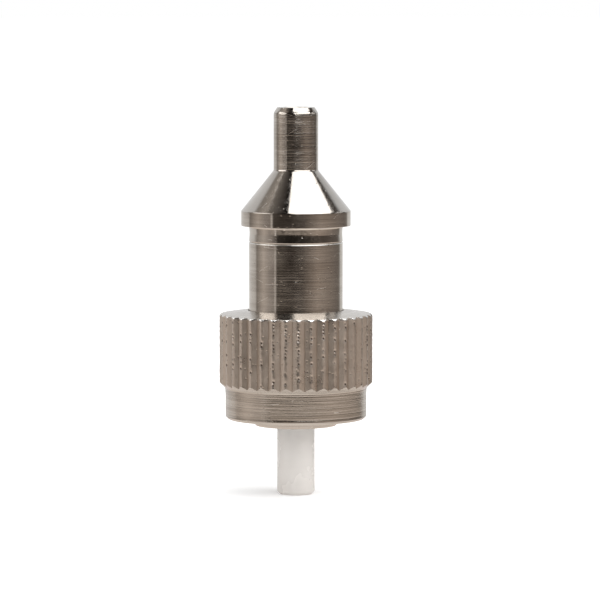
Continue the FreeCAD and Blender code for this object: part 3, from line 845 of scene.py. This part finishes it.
def knurl_look(graph, vector, colours):
    """Rolled grainy flanks, painted shade along the grooves, worn pits along the crests with
    painted shade in them, and a painted highlight on the upper edge.
    """
    nut = bpy.context.scene.adapter.nut
    stretched = graph.add("ShaderNodeMapping", {"Vector": vector, "Scale": (1.0, 1.0, 0.3)})
    grain = graph.noise(stretched.outputs["Vector"], 9000.0, 3.0, 0.65)
    haze = place_group(graph, handling_haze, vector, Scale=900.0)["Haze"]
    dent = place_group(graph, small_pits, vector, Scale=4200.0, Share=0.3)["Mask"]
    crest = graph.add("ShaderNodeAttribute", attribute_name="crest").outputs["Fac"]
    worn = graph.add("ShaderNodeAttribute", attribute_name="pit").outputs["Fac"]
    # Painted shade: the colour darkens towards the grooves' floors
    groove = graph.remap(crest, 0.0, 0.22, 0.75, 0.0)
    shade = graph.plus(graph.remap(grain, 0.45, 0.75, 0.0, 0.4), graph.times(haze, 0.15))
    shade = graph.math("MAXIMUM", shade, graph.math("MAXIMUM", groove, dent), clamp=True)
    # Painted shade in the pressed pits and on their flanks
    pit = graph.remap(graph.times(worn, graph.plus(grain, 0.5)), 0.15, 0.6)
    # Painted highlight, partly wear: the teeth's rounded upper edge is lightened in colour in place
    # of its glints
    arc = nut.top - nut.top_rounding, nut.top - nut.top_rounding / 2
    edge = graph.remap(graph.parts(vector)["Z"], *arc)
    tint = graph.blend(shade, colours.knurl, colours.knurl_grain_and_groove_shade)
    tint = graph.blend(pit, tint, colours.knurl_pit_shade)
    rough = graph.plus(0.27, graph.times(haze, 0.1))
    rough = graph.plus(rough, graph.times(pit, 0.3))
    relief = graph.times(grain, 0.007 * MM)
    return {
        "Base Color": graph.blend(edge, tint, colours.knurl_edge),
        "Roughness": graph.minus(rough, graph.times(edge, 0.12)),
        "Normal": graph.bump(graph.minus(relief, graph.times(dent, 0.008 * MM))),
        "Metallic": 1.0,
    }


# Pieces


class ADAPTER_OT_nose_shell(bpy.types.Operator):
    """Model the nose shell: slim tube, polished cone, collar, band and spigot"""

    bl_idname = "adapter.nose_shell"
    bl_label = "Nose shell"

    # Shares of a radius that tell outer faces from others, and a normal's least rise on the cone
    outer_share = 0.95
    cone_rise = 0.3

    def execute(self, context):
        s = context.scene.adapter.nose
        r = s.rounding
        tip_base = s.top - s.tip_height
        mouth_edge = s.mouth_radius + s.mouth_chamfer
        cove_rounding = s.band_radius / 4
        piece = turn_piece("nose_shell_turned", [
            (s.spigot_radius - s.spigot_chamfer, s.base),
            (s.spigot_radius, s.base + s.spigot_chamfer),
            (s.spigot_radius, s.joint_height),
            (s.band_radius, s.joint_height, s.joint_rounding),
            (s.band_radius - s.cove_depth, s.cove_height, cove_rounding),
            (s.band_radius, s.collar_base, s.band_flare),
            (s.collar_radius, s.collar_base, s.collar_chamfer),
            (s.collar_radius, s.collar_top, s.collar_rounding),
            (s.tube_radius, s.cone_top, s.cone_fillet),
            (s.tube_radius, tip_base, s.tip_rounding),
            (s.tube_radius - s.tip_width, s.top, r),
            (mouth_edge, s.top, r),
            (s.mouth_radius, s.top - s.mouth_chamfer, r),
            (s.mouth_radius, s.lip_base),
            (s.narrow_radius, s.lip_base),
            (s.narrow_radius, s.bore_step),
            (s.wide_radius, s.bore_step),
            (s.wide_radius, s.wide_base),
            (s.counterbore_radius, s.wide_base),
            (s.counterbore_radius, s.base),
        ], s.segments)

        def is_collar(middle, normal):
            level = s.collar_base <= middle.z <= s.collar_top
            return level and radius_of(middle) > s.band_radius

        def is_polished(middle, normal):
            radius = radius_of(middle)
            cone = s.collar_top < middle.z < s.cone_top and normal.z > self.cone_rise
            tip = middle.z > tip_base and radius > mouth_edge
            level = s.joint_height < middle.z < s.collar_base
            band = s.spigot_radius < radius < s.collar_radius * self.outer_share
            return cone or tip or level and band

        def is_tube(middle, normal):
            level = s.cone_top < middle.z < tip_base
            return level and radius_of(middle) > s.tube_radius * self.outer_share

        close_piece(
            piece, "plug", "nose_shell", "nickel_plated_brass", metal("inner nickel"),
            (metal("burnished nickel"), is_collar),
            (metal("polished nickel"), is_polished),
            (metal("lined nickel"), is_tube),
        )
        return {"FINISHED"}


class ADAPTER_OT_plug_body(bpy.types.Operator):
    """Model the plain barrel with its groove and sockets"""

    bl_idname = "adapter.plug_body"
    bl_label = "Barrel"

    def execute(self, context):
        s = context.scene.adapter.barrel
        r = s.rounding
        piece = turn_piece("plug_body_turned", [
            (s.tail_radius, s.base),
            (s.radius - s.chamfer, s.base, r),
            (s.radius, s.base + s.chamfer, r),
            (s.radius, s.groove_base, r),
            (s.groove_radius, s.groove_base),
            (s.groove_radius, s.groove_top),
            (s.radius, s.groove_top, r),
            (s.radius, s.top, s.joint_rounding),
            (s.socket_radius, s.top),
            (s.socket_radius, s.socket_floor),
            (s.chamber_radius, s.socket_floor),
            (s.chamber_radius, s.tail_top),
            (s.tail_radius, s.tail_top),
        ], s.segments)

        def is_outside(middle, normal):
            return radius_of(middle) > s.groove_radius

        # The rounding at the joint line gets a light colour: partly wear, partly a painted
        # highlight
        def is_joint_edge(middle, normal):
            outer = radius_of(middle) > s.radius - s.joint_rounding
            return outer and middle.z > s.top - s.joint_rounding

        close_piece(
            piece, "plug", "plug_body", "nickel_plated_brass", metal("inner nickel"),
            (metal("turned nickel"), is_outside),
            (metal("worn nickel with painted highlight"), is_joint_edge),
        )
        return {"FINISHED"}


class ADAPTER_OT_key_frame(bpy.types.Operator):
    """Model the frame around the ferrule, with its web and its key"""

    bl_idname = "adapter.key_frame"
    bl_label = "Key frame"

    bevel_steps = 3

    def execute(self, context):
        s = context.scene.adapter.frame
        r = s.rounding
        piece = turn_piece("key_frame_turned", [
            (s.radius - s.chamfer_width, s.base, r),
            (s.radius, s.base + s.chamfer_height, r),
            (s.radius, s.key_base),
            (s.radius, s.key_top),
            (s.radius, s.top),
            (s.pocket_radius, s.top),
            (s.pocket_radius, s.web_top),
            (s.web_radius, s.web_top),
            (s.web_radius, s.web_base),
            (s.pocket_radius, s.web_base),
            (s.pocket_radius, s.base, r),
        ], s.segments)
        self.raise_key(piece, s)

        def is_outside(middle, normal):
            return radius_of(middle) > s.pocket_radius

        close_piece(
            piece, "plug", "key_frame", "nickel_plated_brass", metal("inner nickel"),
            (metal("turned nickel"), is_outside),
        )
        return {"FINISHED"}

    def raise_key(self, piece, s):
        """Extrude the key from the frame's outer wall, and flatten its face."""
        half = s.key_width / 2

        def on_key_side(middle, normal):
            outer = radius_of(middle) > (s.radius + s.pocket_radius) / 2
            return outer and middle.y > 0 and s.key_base < middle.z < s.key_top

        def on_key(middle, normal):
            return on_key_side(middle, normal) and abs(middle.x) < half

        cut_sides(piece, half, on_key_side)
        select_faces(piece, on_key)
        any_lift = s.radius / 10
        extrude((0, any_lift, 0))
        stretch((1, 0, 1), (0, s.key_reach, 0))
        bpy.ops.mesh.region_to_loop()
        bpy.ops.mesh.bevel(offset=s.key_bevel, segments=self.bevel_steps, affect="EDGES")
        tidy_mesh()


class ADAPTER_OT_coupling_nut(bpy.types.Operator):
    """Model the knurled nut with its plain rim and its inner thread"""

    bl_idname = "adapter.coupling_nut"
    bl_label = "Coupling nut"

    # Points around a tooth, those from its groove to its crest, and steps of its upper rounding
    columns = 12
    flank_columns = 5
    arc_steps = 4

    # Wear: seed, a tooth's least and random wear, share of shallow pits, depth of a shallow pit
    seed = 17308
    least_wear = 0.12
    random_wear = 2.2
    shallow_share = 0.35
    shallow_depth = 0.5

    # Least share of the depth on a crest, wear at the teeth's foot, and share of uneven points
    crest_least = 0.99
    foot_wear = 0.5
    uneven_share = 0.5

    # Heights of the turned line above the rim's lower edge, in depths of that line
    line_heights = (3, 8, 18)

    # Thread: half widths of its ridge in pitches, how far it sinks in, and where it starts
    root_half = 7 / 16
    crest_half = 1 / 8
    ridge_sunk = 0.05 * MM
    thread_lead = 0.55 * MM

    # A normal's rise on end faces and chamfers, and shares that tell the rim and knurl apart
    level_rise = 0.96
    chamfer_rise = -0.4
    rim_share = 0.97
    knurl_start = 0.2
    crown_reach = 1.5

    def execute(self, context):
        s = context.scene.adapter.nut
        piece = self.turn_blank(s)
        self.roll_knurl(piece, s)
        self.pit_crests(piece, s)
        bpy.ops.mesh.select_all(action="SELECT")
        turn_selection(-s.phase, "Z")
        bpy.ops.object.mode_set(mode="OBJECT")
        thread = self.cut_thread(s)
        bpy.ops.object.select_all(action="DESELECT")
        thread.select_set(True)
        piece.select_set(True)
        context.view_layer.objects.active = piece
        bpy.ops.object.join()
        bpy.ops.object.mode_set(mode="EDIT")
        knurl_base = s.rim_top + s.lower_chamfer * self.knurl_start
        rim_base = s.base + s.rim_chamfer

        def is_rim(middle, normal):
            outer = radius_of(middle) > s.rim_radius * self.rim_share
            return outer and rim_base < middle.z < s.rim_top

        def is_face(middle, normal):
            crown = middle.z > s.top - s.top_rounding * self.crown_reach
            above = crown and normal.z > self.level_rise
            chamfer = s.rim_top < middle.z < s.rim_top + s.lower_chamfer
            below = chamfer and normal.z < self.chamfer_rise
            edge = middle.z < rim_base and radius_of(middle) > s.rim_radius - s.rim_chamfer
            return above or edge or below and radius_of(middle) > s.rim_radius

        def is_knurl(middle, normal):
            outer = radius_of(middle) > s.rim_radius and middle.z > knurl_base
            return outer and self.chamfer_rise < normal.z < self.level_rise

        close_piece(
            piece, "nut", "coupling_nut", "nickel_plated_brass", metal("inner nickel"),
            (metal("brushed nickel"), is_rim),
            (metal("faced nickel"), is_face),
            (make_finish("knurled nickel", knurl_look), is_knurl),
        )
        return {"FINISHED"}

    def knurl_span(self, s):
        """Lower and upper end of the teeth's full height."""
        return s.rim_top + s.lower_chamfer, s.top - s.top_rounding

    def turn_blank(self, s):
        """Turn the nut's blank, with rows of points along the knurl."""
        r = s.rounding
        rim_edge = s.rim_radius - s.rim_chamfer
        rim_base = s.base + s.rim_chamfer
        mouth = rim_edge - s.rim_land
        lower, upper = self.knurl_span(s)
        first, deep, last = (rim_base + s.rim_line * height for height in self.line_heights)
        rows = [
            (s.radius, lower + (upper - lower) * row / s.rows) for row in range(s.rows + 1)
        ]
        return turn_piece("coupling_nut_knurled", [
            (mouth, s.base, r),
            (rim_edge, s.base, r),
            (s.rim_radius, rim_base, r),
            (s.rim_radius, first),
            (s.rim_radius - s.rim_line, deep),
            (s.rim_radius, last),
            (s.rim_radius, s.rim_top - s.flare_height),
            (s.rim_radius + s.rim_flare, s.rim_top, s.rim_fillet),
            *rows,
            *self.top_arc(s),
            (s.bore_radius, s.crown_top, r),
            (s.bore_radius, s.wall_base),
            (s.relief_radius, s.wall_base),
            (s.relief_radius, s.relief_base),
            (s.thread_root, s.relief_base),
            (s.thread_root, s.base + (mouth - s.thread_root)),
        ], s.teeth * self.columns)

    def top_arc(self, s):
        """Points of the rounding at the upper end of the teeth, from below upwards."""
        arc = []
        for step in range(1, self.arc_steps + 1):
            turn = QUARTER_TURN * step / self.arc_steps
            inset = s.top_rounding * (1 - math.cos(turn))
            arc.append((s.radius - inset, s.top - s.top_rounding * (1 - math.sin(turn))))
        return arc

    def column_of(self, place, s):
        """Number of the point's column in its tooth. Column nought is the groove's floor."""
        turn = math.atan2(place.y, place.x) * s.teeth * self.columns / math.tau
        return round(turn) % self.columns

    def roll_knurl(self, piece, s):
        """Press the grooves into the blank, and let them run out in chamfer and crown."""
        lower, upper = self.knurl_span(s)
        crest_top = s.radius - s.top_rounding
        slope = s.lower_chamfer / (s.radius - s.rim_radius - s.rim_flare)
        crown_slope = (s.crown_top - s.top) / (crest_top - s.bore_radius)
        for offset in range(self.flank_columns):
            depth = s.depth * (1 - offset / self.flank_columns)
            columns = (offset, (self.columns - offset) % self.columns)
            floor = s.radius - depth
            self.press(piece, s, columns, floor, s.radius, (lower, lower), -depth * slope)
            self.press(piece, s, columns, floor, s.radius, (lower, upper))
            for radius, height in self.top_arc(s):
                if radius > floor + MERGE_DISTANCE:
                    climb = (crest_top - floor) * crown_slope if height == s.top else 0.0
                    self.press(piece, s, columns, floor, radius, (height, height), climb)
        tidy_mesh()

    def press(self, piece, s, columns, floor, radius, heights, climb=0.0):
        """Press some columns of the rings between two heights down to a groove's floor."""
        near = MERGE_DISTANCE * 5

        def in_groove(point):
            place = point.co
            level = heights[0] - near < place.z < heights[1] + near
            on_ring = level and abs(radius_of(place) - radius) < near
            return on_ring and self.column_of(place, s) in columns

        select_parts(piece, "VERT", in_groove)
        widen(floor / radius)
        bpy.ops.transform.translate(value=(0, 0, climb))

    def pit_crests(self, piece, s):
        """Press worn pits along the crests, and keep where both are, for the finish's painted shade
        in grooves and pits.
        """
        draw = random.Random(self.seed)
        lower, upper = self.knurl_span(s)
        margin = (upper - lower) / s.rows / 2
        centre = self.columns // 2
        mesh = bmesh.from_edit_mesh(piece.data)
        for name in ("crest", "pit"):
            mesh.verts.layers.float.new(name)
        crest = mesh.verts.layers.float["crest"]
        wear = [
            (self.least_wear + self.random_wear * draw.random() ** 2) * s.pit_share
            for _ in range(s.teeth)
        ]
        rows = {}
        for point in mesh.verts:
            place = point.co
            point[crest] = min(max((radius_of(place) - s.radius) / s.depth + 1, 0.0), 1.0)
            offset = self.column_of(place, s) - centre
            on_crest = point[crest] > self.crest_least and lower + margin < place.z < upper - margin
            if on_crest and abs(offset) <= 1:
                tooth = int(math.atan2(place.y, place.x) % math.tau * s.teeth / math.tau)
                rows.setdefault((tooth, round(place.z / margin)), {})[offset] = point.index
        wander = s.crest_wander / s.pit_depth
        chosen = {1.0: [], self.shallow_depth: [], wander: []}
        pitted = False
        for (tooth, row), points in sorted(rows.items()):
            rise = (row * margin - lower) / (upper - lower)
            pitted = not pitted and draw.random() < wear[tooth] * (self.foot_wear + rise)
            side = draw.choice((-1, 1))
            for offset, number in points.items():
                if pitted and offset != side:
                    shallow = offset or draw.random() < self.shallow_share
                    chosen[self.shallow_depth if shallow else 1.0].append(number)
                elif draw.random() < self.uneven_share:
                    chosen[wander].append(number)
        for depth, numbers in chosen.items():
            bpy.ops.mesh.select_all(action="DESELECT")
            mesh = bmesh.from_edit_mesh(piece.data)
            mesh.verts.ensure_lookup_table()
            pit = mesh.verts.layers.float["pit"]
            for number in numbers:
                mesh.verts[number].select_set(True)
                mesh.verts[number][pit] = depth
            mesh.select_flush_mode()
            bmesh.update_edit_mesh(piece.data)
            widen(1 - s.pit_depth * depth / s.radius)
        tidy_mesh()

    def cut_thread(self, s):
        """Sweep the thread's ridge along its helix inside the bore."""
        width = 2 * s.thread_pitch * self.root_half
        depth = s.thread_root - s.thread_crest + self.ridge_sunk
        start = s.base + self.thread_lead
        turns = int((s.relief_base - start) / s.thread_pitch)
        bpy.ops.object.select_all(action="DESELECT")
        bpy.ops.mesh.primitive_plane_add(size=width, enter_editmode=True)
        ridge = bpy.context.object
        turn_selection(QUARTER_TURN, "X")
        stretch((depth / width, 1, 1))
        select_parts(ridge, "VERT", lambda point: point.co.x < 0)
        stretch((1, 1, self.crest_half / self.root_half))
        bpy.ops.mesh.select_all(action="SELECT")
        middle = (s.thread_crest + s.thread_root + self.ridge_sunk) / 2
        bpy.ops.transform.translate(value=(middle, 0, start))
        bpy.ops.mesh.delete(type="ONLY_FACE")
        bpy.ops.object.mode_set(mode="OBJECT")
        sweep_helix(ridge, s.thread_pitch, turns, s.thread_steps)
        return ridge


class ADAPTER_OT_retaining_ring(bpy.types.Operator):
    """Model the open snap ring in the barrel's groove"""

    bl_idname = "adapter.retaining_ring"
    bl_label = "Snap ring"

    def execute(self, context):
        s = context.scene.adapter.ring
        r = s.rounding
        piece = turn_piece("nut_retaining_ring_open", [
            (s.inner, s.base, r), (s.outer, s.base, r), (s.outer, s.top, r), (s.inner, s.top, r),
        ], s.segments)
        cut_slot(piece, s.gap)
        steel = metal("spring steel")
        close_piece(piece, "retaining_ring", "nut_retaining_ring", "spring_steel", steel)
        return {"FINISHED"}


class ADAPTER_OT_ferrule(bpy.types.Operator):
    """Model the white ferrule and the fibre that ends in its tip"""

    bl_idname = "adapter.ferrule"
    bl_label = "Ferrule and fibre"

    bevel_steps = 2

    def execute(self, context):
        s = context.scene.adapter.ferrule
        r = s.rounding
        ferrule = turn_piece("fc_ferrule_ground", [
            (s.bore_radius, 0.0),
            (s.radius - s.chamfer, 0.0, r),
            (s.radius, s.chamfer, r),
            (s.radius, s.shank_base, r),
            (s.shank_radius, s.shank_base),
            (s.shank_radius, s.top),
            (s.funnel_radius, s.top),
            (s.bore_radius, s.funnel_base),
        ], s.segments)
        close_piece(ferrule, "fibre_stub", "fc_ferrule", "zirconia", ceramic())
        fibre = start_piece("fibre_glass_core", s.fibre_segments, s.fibre_radius)
        bpy.ops.mesh.edge_face_add()
        extrude((0, 0, s.fibre_top))
        for end in (0.0, s.fibre_top):
            select_faces(fibre, lambda middle, normal: abs(middle.z - end) < MERGE_DISTANCE)
            bpy.ops.mesh.bevel(
                offset=s.fibre_rounding, segments=self.bevel_steps, affect="EDGES"
            )
        tidy_mesh()
        glass = make_finish("fibre glass", glass_look)
        close_piece(fibre, "fibre_stub", "fibre", "fibre_glass", glass)
        return {"FINISHED"}


class ADAPTER_OT_sleeve(bpy.types.Operator):
    """Model the slotted ceramic sleeve inside the nose"""

    bl_idname = "adapter.sleeve"
    bl_label = "Conversion sleeve"

    def execute(self, context):
        s = context.scene.adapter.sleeve
        r = s.rounding
        piece = turn_piece("conversion_sleeve_slotted", [
            (s.wide_bore + s.chamfer, s.base),
            (s.wide_outer, s.base, r),
            (s.wide_outer, s.outer_step, r),
            (s.narrow_outer, s.outer_step),
            (s.narrow_outer, s.top, r),
            (s.narrow_bore + s.chamfer, s.top),
            (s.narrow_bore, s.top - s.chamfer),
            (s.narrow_bore, s.inner_step),
            (s.wide_bore, s.inner_step),
            (s.wide_bore, s.base + s.chamfer),
        ], s.segments)
        cut_slot(piece, s.slot)
        close_piece(piece, "plug", "conversion_sleeve", "zirconia", ceramic())
        return {"FINISHED"}


class ADAPTER_OT_spring(bpy.types.Operator):
    """Model the coil spring, with ends ground flat"""

    bl_idname = "adapter.spring"
    bl_label = "Coil spring"

    def execute(self, context):
        s = context.scene.adapter.spring
        full = s.top - s.base
        piece = start_piece("ferrule_spring_coiled", s.wire_sides, s.wire_radius)
        turn_selection(QUARTER_TURN, "X")
        bpy.ops.transform.translate(value=(s.coil_radius, 0, s.base))
        bpy.ops.object.mode_set(mode="OBJECT")
        sweep_helix(piece, full / s.turns, s.turns, s.turn_steps)
        bpy.ops.object.mode_set(mode="EDIT")
        for seat, upwards in ((s.base, 1), (s.top, -1)):
            bpy.ops.mesh.select_all(action="SELECT")
            bpy.ops.mesh.bisect(
                plane_co=(0, 0, seat), plane_no=(0, 0, upwards), use_fill=True,
                clear_inner=True, threshold=CUT_THRESHOLD,
            )
        tidy_mesh()
        close_piece(piece, "plug", "ferrule_spring", "spring_steel", metal("spring steel"))
        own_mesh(piece)
        return {"FINISHED"}


class ADAPTER_OT_inner_finishes(bpy.types.Operator):
    """Dress the sealed inner pieces that keep their packed solids"""

    bl_idname = "adapter.inner_finishes"
    bl_label = "Inner finishes"

    def execute(self, context):
        for node, material in (
            ("stub_holder", metal("stainless steel")),
            ("rear_stub_ferrule", ceramic()),
            ("sleeve_retainer", metal("inner nickel")),
        ):
            mesh = frame["nodes"][node].data
            mesh.materials.clear()
            mesh.materials.append(material)
        return {"FINISHED"}


# The studio around the object, which its metal mirrors: colours by bearing from the camera's
# side for the cards below ROOM_EDGE and the room above it, and by height above the horizon

CARD_BEARINGS = (
    (-180, (0.80, 0.79, 0.77)),
    (-118, (0.62, 0.60, 0.58)),
    (-112, (0.23, 0.205, 0.185)),
    (-86, (0.56, 0.50, 0.45)),
    (-68, (0.34, 0.305, 0.28)),
    (-55, (0.28, 0.25, 0.23)),
    (-52, (0.95, 0.90, 0.85)),
    (-49, (0.07, 0.06, 0.05)),
    (-10, (0.035, 0.028, 0.024)),
    (16, (0.08, 0.065, 0.055)),
    (55, (0.40, 0.33, 0.28)),
    (115, (0.22, 0.19, 0.17)),
    (134, (0.20, 0.18, 0.16)),
    (140, (0.68, 0.67, 0.65)),
    (180, (0.80, 0.79, 0.77)),
)
ROOM_BEARINGS = (
    (-180, (0.85, 0.86, 0.87)),
    (-126, (0.64, 0.65, 0.66)),
    (-120, (0.27, 0.25, 0.23)),
    (-88, (0.50, 0.46, 0.42)),
    (-60, (0.25, 0.22, 0.20)),
    (-46, (0.035, 0.03, 0.026)),
    (-15, (0.015, 0.013, 0.011)),
    (70, (0.05, 0.042, 0.036)),
    (125, (0.06, 0.052, 0.046)),
    (134, (0.62, 0.64, 0.66)),
    (180, (0.85, 0.86, 0.87)),
)
CARD_HEIGHTS = (
    (-90, (1.0, 1.0, 1.0)),
    (53, (1.0, 1.0, 1.0)),
    (57, (0.4, 0.4, 0.4)),
    (68, (0.22, 0.22, 0.22)),
    (90, (0.15, 0.15, 0.15)),
)
TABLE_DEPTHS = (
    (-90, (1.0, 0.95, 0.90)),
    (-40, (0.86, 0.79, 0.73)),
    (-12.5, (0.80, 0.70, 0.61)),
    (-11, (0.06, 0.05, 0.045)),
    (-9, (0.0, 0.0, 0.0)),
    (90, (0.0, 0.0, 0.0)),
)
ROOM_EDGE = (-2.0, 3.0)
SURROUND_FACES = {"segments": 96, "ring_count": 48}

# Softboxes above by their place, and around the object by bearing, rise and share of the glow
BOXES_ABOVE = (
    ("softbox_above", (0.0405, 0.0, 0.13), (0.123, 0.15)),
    ("softbox_behind", (-0.054, 0.033, 0.13), (0.052, 0.036)),
)
BOXES_AROUND = (
    ("softbox_right", 39.0, 36.0, (0.26, 0.1), 1.0),
    ("softbox_side", 106.0, 21.0, (0.07, 0.05), 0.4),
    ("softbox_left", -80.0, 25.0, (0.13, 0.066), 0.72),
)
BOX_DIFFUSE = 0.08
FLOOR_SIZE = 6.0
WHITE = (1.0, 1.0, 1.0, 1.0)
SENSOR_WIDTH = 36.0
CLIP_RANGE = (0.01, 20.0)


class ADAPTER_OT_stage(bpy.types.Operator):
    """Set up the pale floor, the cards around the object, the softboxes and the camera"""

    bl_idname = "adapter.stage"
    bl_label = "Stage"

    def execute(self, context):
        s = context.scene.adapter.stage
        context.scene.view_settings.view_transform = "Standard"
        self.light_world(context.scene, s)
        self.lay_floor(s)
        self.stand_cards(s)
        self.hang_softboxes(s)
        self.set_camera(context.scene, s)
        return {"FINISHED"}

    def light_world(self, scene, s):
        """White where it is seen or mirrored, and a soft even light on the object."""
        world = bpy.data.worlds.new("Studio")
        world.use_nodes = True
        graph = Graph(world.node_tree)
        path = graph.add("ShaderNodeLightPath").outputs
        seen = graph.math("MAXIMUM", path["Is Camera Ray"], path["Is Glossy Ray"])
        seen = graph.math("MAXIMUM", seen, path["Is Transmission Ray"])
        strength = graph.remap(seen, 0.0, 1.0, s.ambient, 1.0)
        graph.feed(graph.tree.nodes["Background"], {"Color": WHITE, "Strength": strength})
        scene.world = world

    def lay_floor(self, s):
        """A wide pale floor that shows the object's shadow."""
        bpy.ops.object.select_all(action="DESELECT")
        bpy.ops.mesh.primitive_plane_add(size=FLOOR_SIZE)
        floor = bpy.context.object
        floor.name = "floor"
        material = bpy.data.materials.new("pale floor")
        material.use_nodes = True
        graph = Graph(material.node_tree)
        reach = graph.span(graph.object_place())
        lift = graph.remap(reach, 0.0, s.lift_reach, s.near_lift, s.floor_lift)
        path = graph.add("ShaderNodeLightPath").outputs
        graph.feed(graph.tree.nodes["Principled BSDF"], {
            "Base Color": (*s.floor_colour, 1.0),
            "Roughness": 1.0,
            "Specular IOR Level": 0.0,
            "Emission Color": WHITE,
            "Emission Strength": graph.times(path["Is Camera Ray"], lift),
        })
        floor.data.materials.append(material)
        floor.visible_glossy = False

    def stand_cards(self, s):
        """Cards and table around the object, which only mirror images show."""
        bpy.ops.object.select_all(action="DESELECT")
        bpy.ops.mesh.primitive_uv_sphere_add(
            radius=s.surround_radius, location=(0, 0, s.target[2]), **SURROUND_FACES
        )
        cards = bpy.context.object
        cards.name = "studio_cards"
        cards.data.materials.append(self.card_material())
        for kind in ("camera", "diffuse", "transmission", "volume_scatter", "shadow"):
            setattr(cards, f"visible_{kind}", False)

    def card_material(self):
        """Brightness by direction: dark in front, grey at the sides, white behind, pale below."""
        material = bpy.data.materials.new("studio cards")
        material.use_nodes = True
        graph = Graph(material.node_tree)
        graph.tree.nodes.remove(graph.tree.nodes["Principled BSDF"])
        vector = graph.object_place()
        parts = graph.parts(vector)
        bearing = graph.math("ARCTAN2", parts["X"], graph.times(parts["Y"], -1.0))
        around = graph.remap(bearing, -math.pi, math.pi)
        rise = graph.math("ARCSINE", graph.math("DIVIDE", parts["Z"], graph.span(vector)))
        steep = graph.remap(rise, -QUARTER_TURN, QUARTER_TURN)
        cards = self.colour_ramp(graph, around, CARD_BEARINGS)
        room = self.colour_ramp(graph, around, ROOM_BEARINGS)
        fade = self.colour_ramp(graph, steep, CARD_HEIGHTS)
        table = self.colour_ramp(graph, steep, TABLE_DEPTHS)
        low, high = (math.radians(edge) for edge in ROOM_EDGE)
        walls = graph.blend(graph.remap(rise, low, high), cards, room)
        walls = graph.blend(1.0, walls, fade, "MULTIPLY")
        glow = {"Color": graph.blend(1.0, walls, table, "LIGHTEN")}
        surface = graph.add("ShaderNodeEmission", glow).outputs["Emission"]
        graph.feed(graph.tree.nodes["Material Output"], {"Surface": surface})
        return material

    def colour_ramp(self, graph, place, stops):
        """A ramp of colours over an angle, with its stops in degrees from end to end."""
        node = graph.add("ShaderNodeValToRGB", {"Fac": place})
        ramp = node.color_ramp
        while len(ramp.elements) > 1:
            ramp.elements.remove(ramp.elements[-1])
        start, span = stops[0][0], stops[-1][0] - stops[0][0]
        for number, (degrees, rgb) in enumerate(stops):
            position = (degrees - start) / span
            stop = ramp.elements.new(position) if number else ramp.elements[0]
            stop.position = position
            stop.color = (*rgb, 1.0)
        return node.outputs["Color"]

    def hang_softboxes(self, s):
        """Two softboxes above the object, two at the right and one at the left."""
        for name, place, size in BOXES_ABOVE:
            self.hang_softbox(name, s.glow, place, ORIGIN, size)
        for name, bearing, rise, size, power in BOXES_AROUND:
            bearing, rise = math.radians(bearing), math.radians(rise)
            level = math.cos(rise)
            aim = Vector((
                math.sin(bearing) * level, -math.cos(bearing) * level, math.sin(rise)
            ))
            place = Vector(s.target) + aim * s.softbox_distance
            tilt = aim.to_track_quat("Z", "Y").to_euler()
            self.hang_softbox(name, s.glow * power, place, tilt, size)

    def hang_softbox(self, name, glow, place, tilt, size):
        """Hang one softbox whose face has the set brightness."""
        bpy.ops.object.light_add(type="AREA", location=place, rotation=tilt)
        lamp = bpy.context.object
        lamp.name = name
        lamp.data.shape = "RECTANGLE"
        lamp.data.size, lamp.data.size_y = size
        lamp.data.energy = math.pi * size[0] * size[1] * glow
        lamp.data.diffuse_factor = BOX_DIFFUSE
        lamp.visible_camera = False

    def set_camera(self, scene, s):
        """Put the camera at the photograph's angle."""
        back = Vector((0.0, -math.cos(s.elevation), math.sin(s.elevation)))
        place = Vector(s.target) + back * s.distance
        tilt = (QUARTER_TURN - s.elevation, 0.0, 0.0)
        bpy.ops.object.camera_add(location=place, rotation=tilt)
        camera = bpy.context.object
        camera.data.sensor_width = SENSOR_WIDTH
        camera.data.lens = SENSOR_WIDTH / 2 * s.distance / s.half_width
        camera.data.clip_start, camera.data.clip_end = CLIP_RANGE
        scene.camera = camera


PANEL_ROWS = (
    ("nose", ADAPTER_OT_nose_shell),
    ("barrel", ADAPTER_OT_plug_body),
    ("frame", ADAPTER_OT_key_frame),
    ("nut", ADAPTER_OT_coupling_nut),
    ("ring", ADAPTER_OT_retaining_ring),
    ("ferrule", ADAPTER_OT_ferrule),
    ("sleeve", ADAPTER_OT_sleeve),
    ("spring", ADAPTER_OT_spring),
    ("colours", ADAPTER_OT_inner_finishes),
    ("stage", ADAPTER_OT_stage),
)


class VIEW3D_PT_adapter(bpy.types.Panel):
    """Lists the operators and their settings"""

    bl_idname = "VIEW3D_PT_adapter"
    bl_label = "Fibre adapter"
    bl_space_type = "VIEW_3D"
    bl_region_type = "UI"
    bl_category = "Adapter"

    def draw(self, context):
        for group, operator in PANEL_ROWS:
            box = self.layout.box()
            box.operator(operator.bl_idname)
            values = getattr(context.scene.adapter, group)
            for name in type(values).__annotations__:
                box.prop(values, name)


OPERATORS = tuple(operator for _, operator in PANEL_ROWS)

CLASSES = (
    NoseSizes, BarrelSizes, FrameSizes, NutSizes, RingSizes, FerruleSizes, SleeveSizes,
    SpringSizes, FinishColours, StageSettings, AdapterSettings, *OPERATORS, VIEW3D_PT_adapter,
)


def register():
    for item in CLASSES:
        bpy.utils.register_class(item)
    bpy.types.Scene.adapter = bpy.props.PointerProperty(
        type=AdapterSettings, name="Fibre adapter", description="Settings of the fibre adapter"
    )


def unregister():
    del bpy.types.Scene.adapter
    for item in reversed(CLASSES):
        bpy.utils.unregister_class(item)


def main():
    """Register the settings, model every piece in order and set the stage."""
    register()
    for operator in OPERATORS:
        family, name = operator.bl_idname.split(".")
        getattr(getattr(bpy.ops, family), name)()


if __name__ == "__main__":
    main()
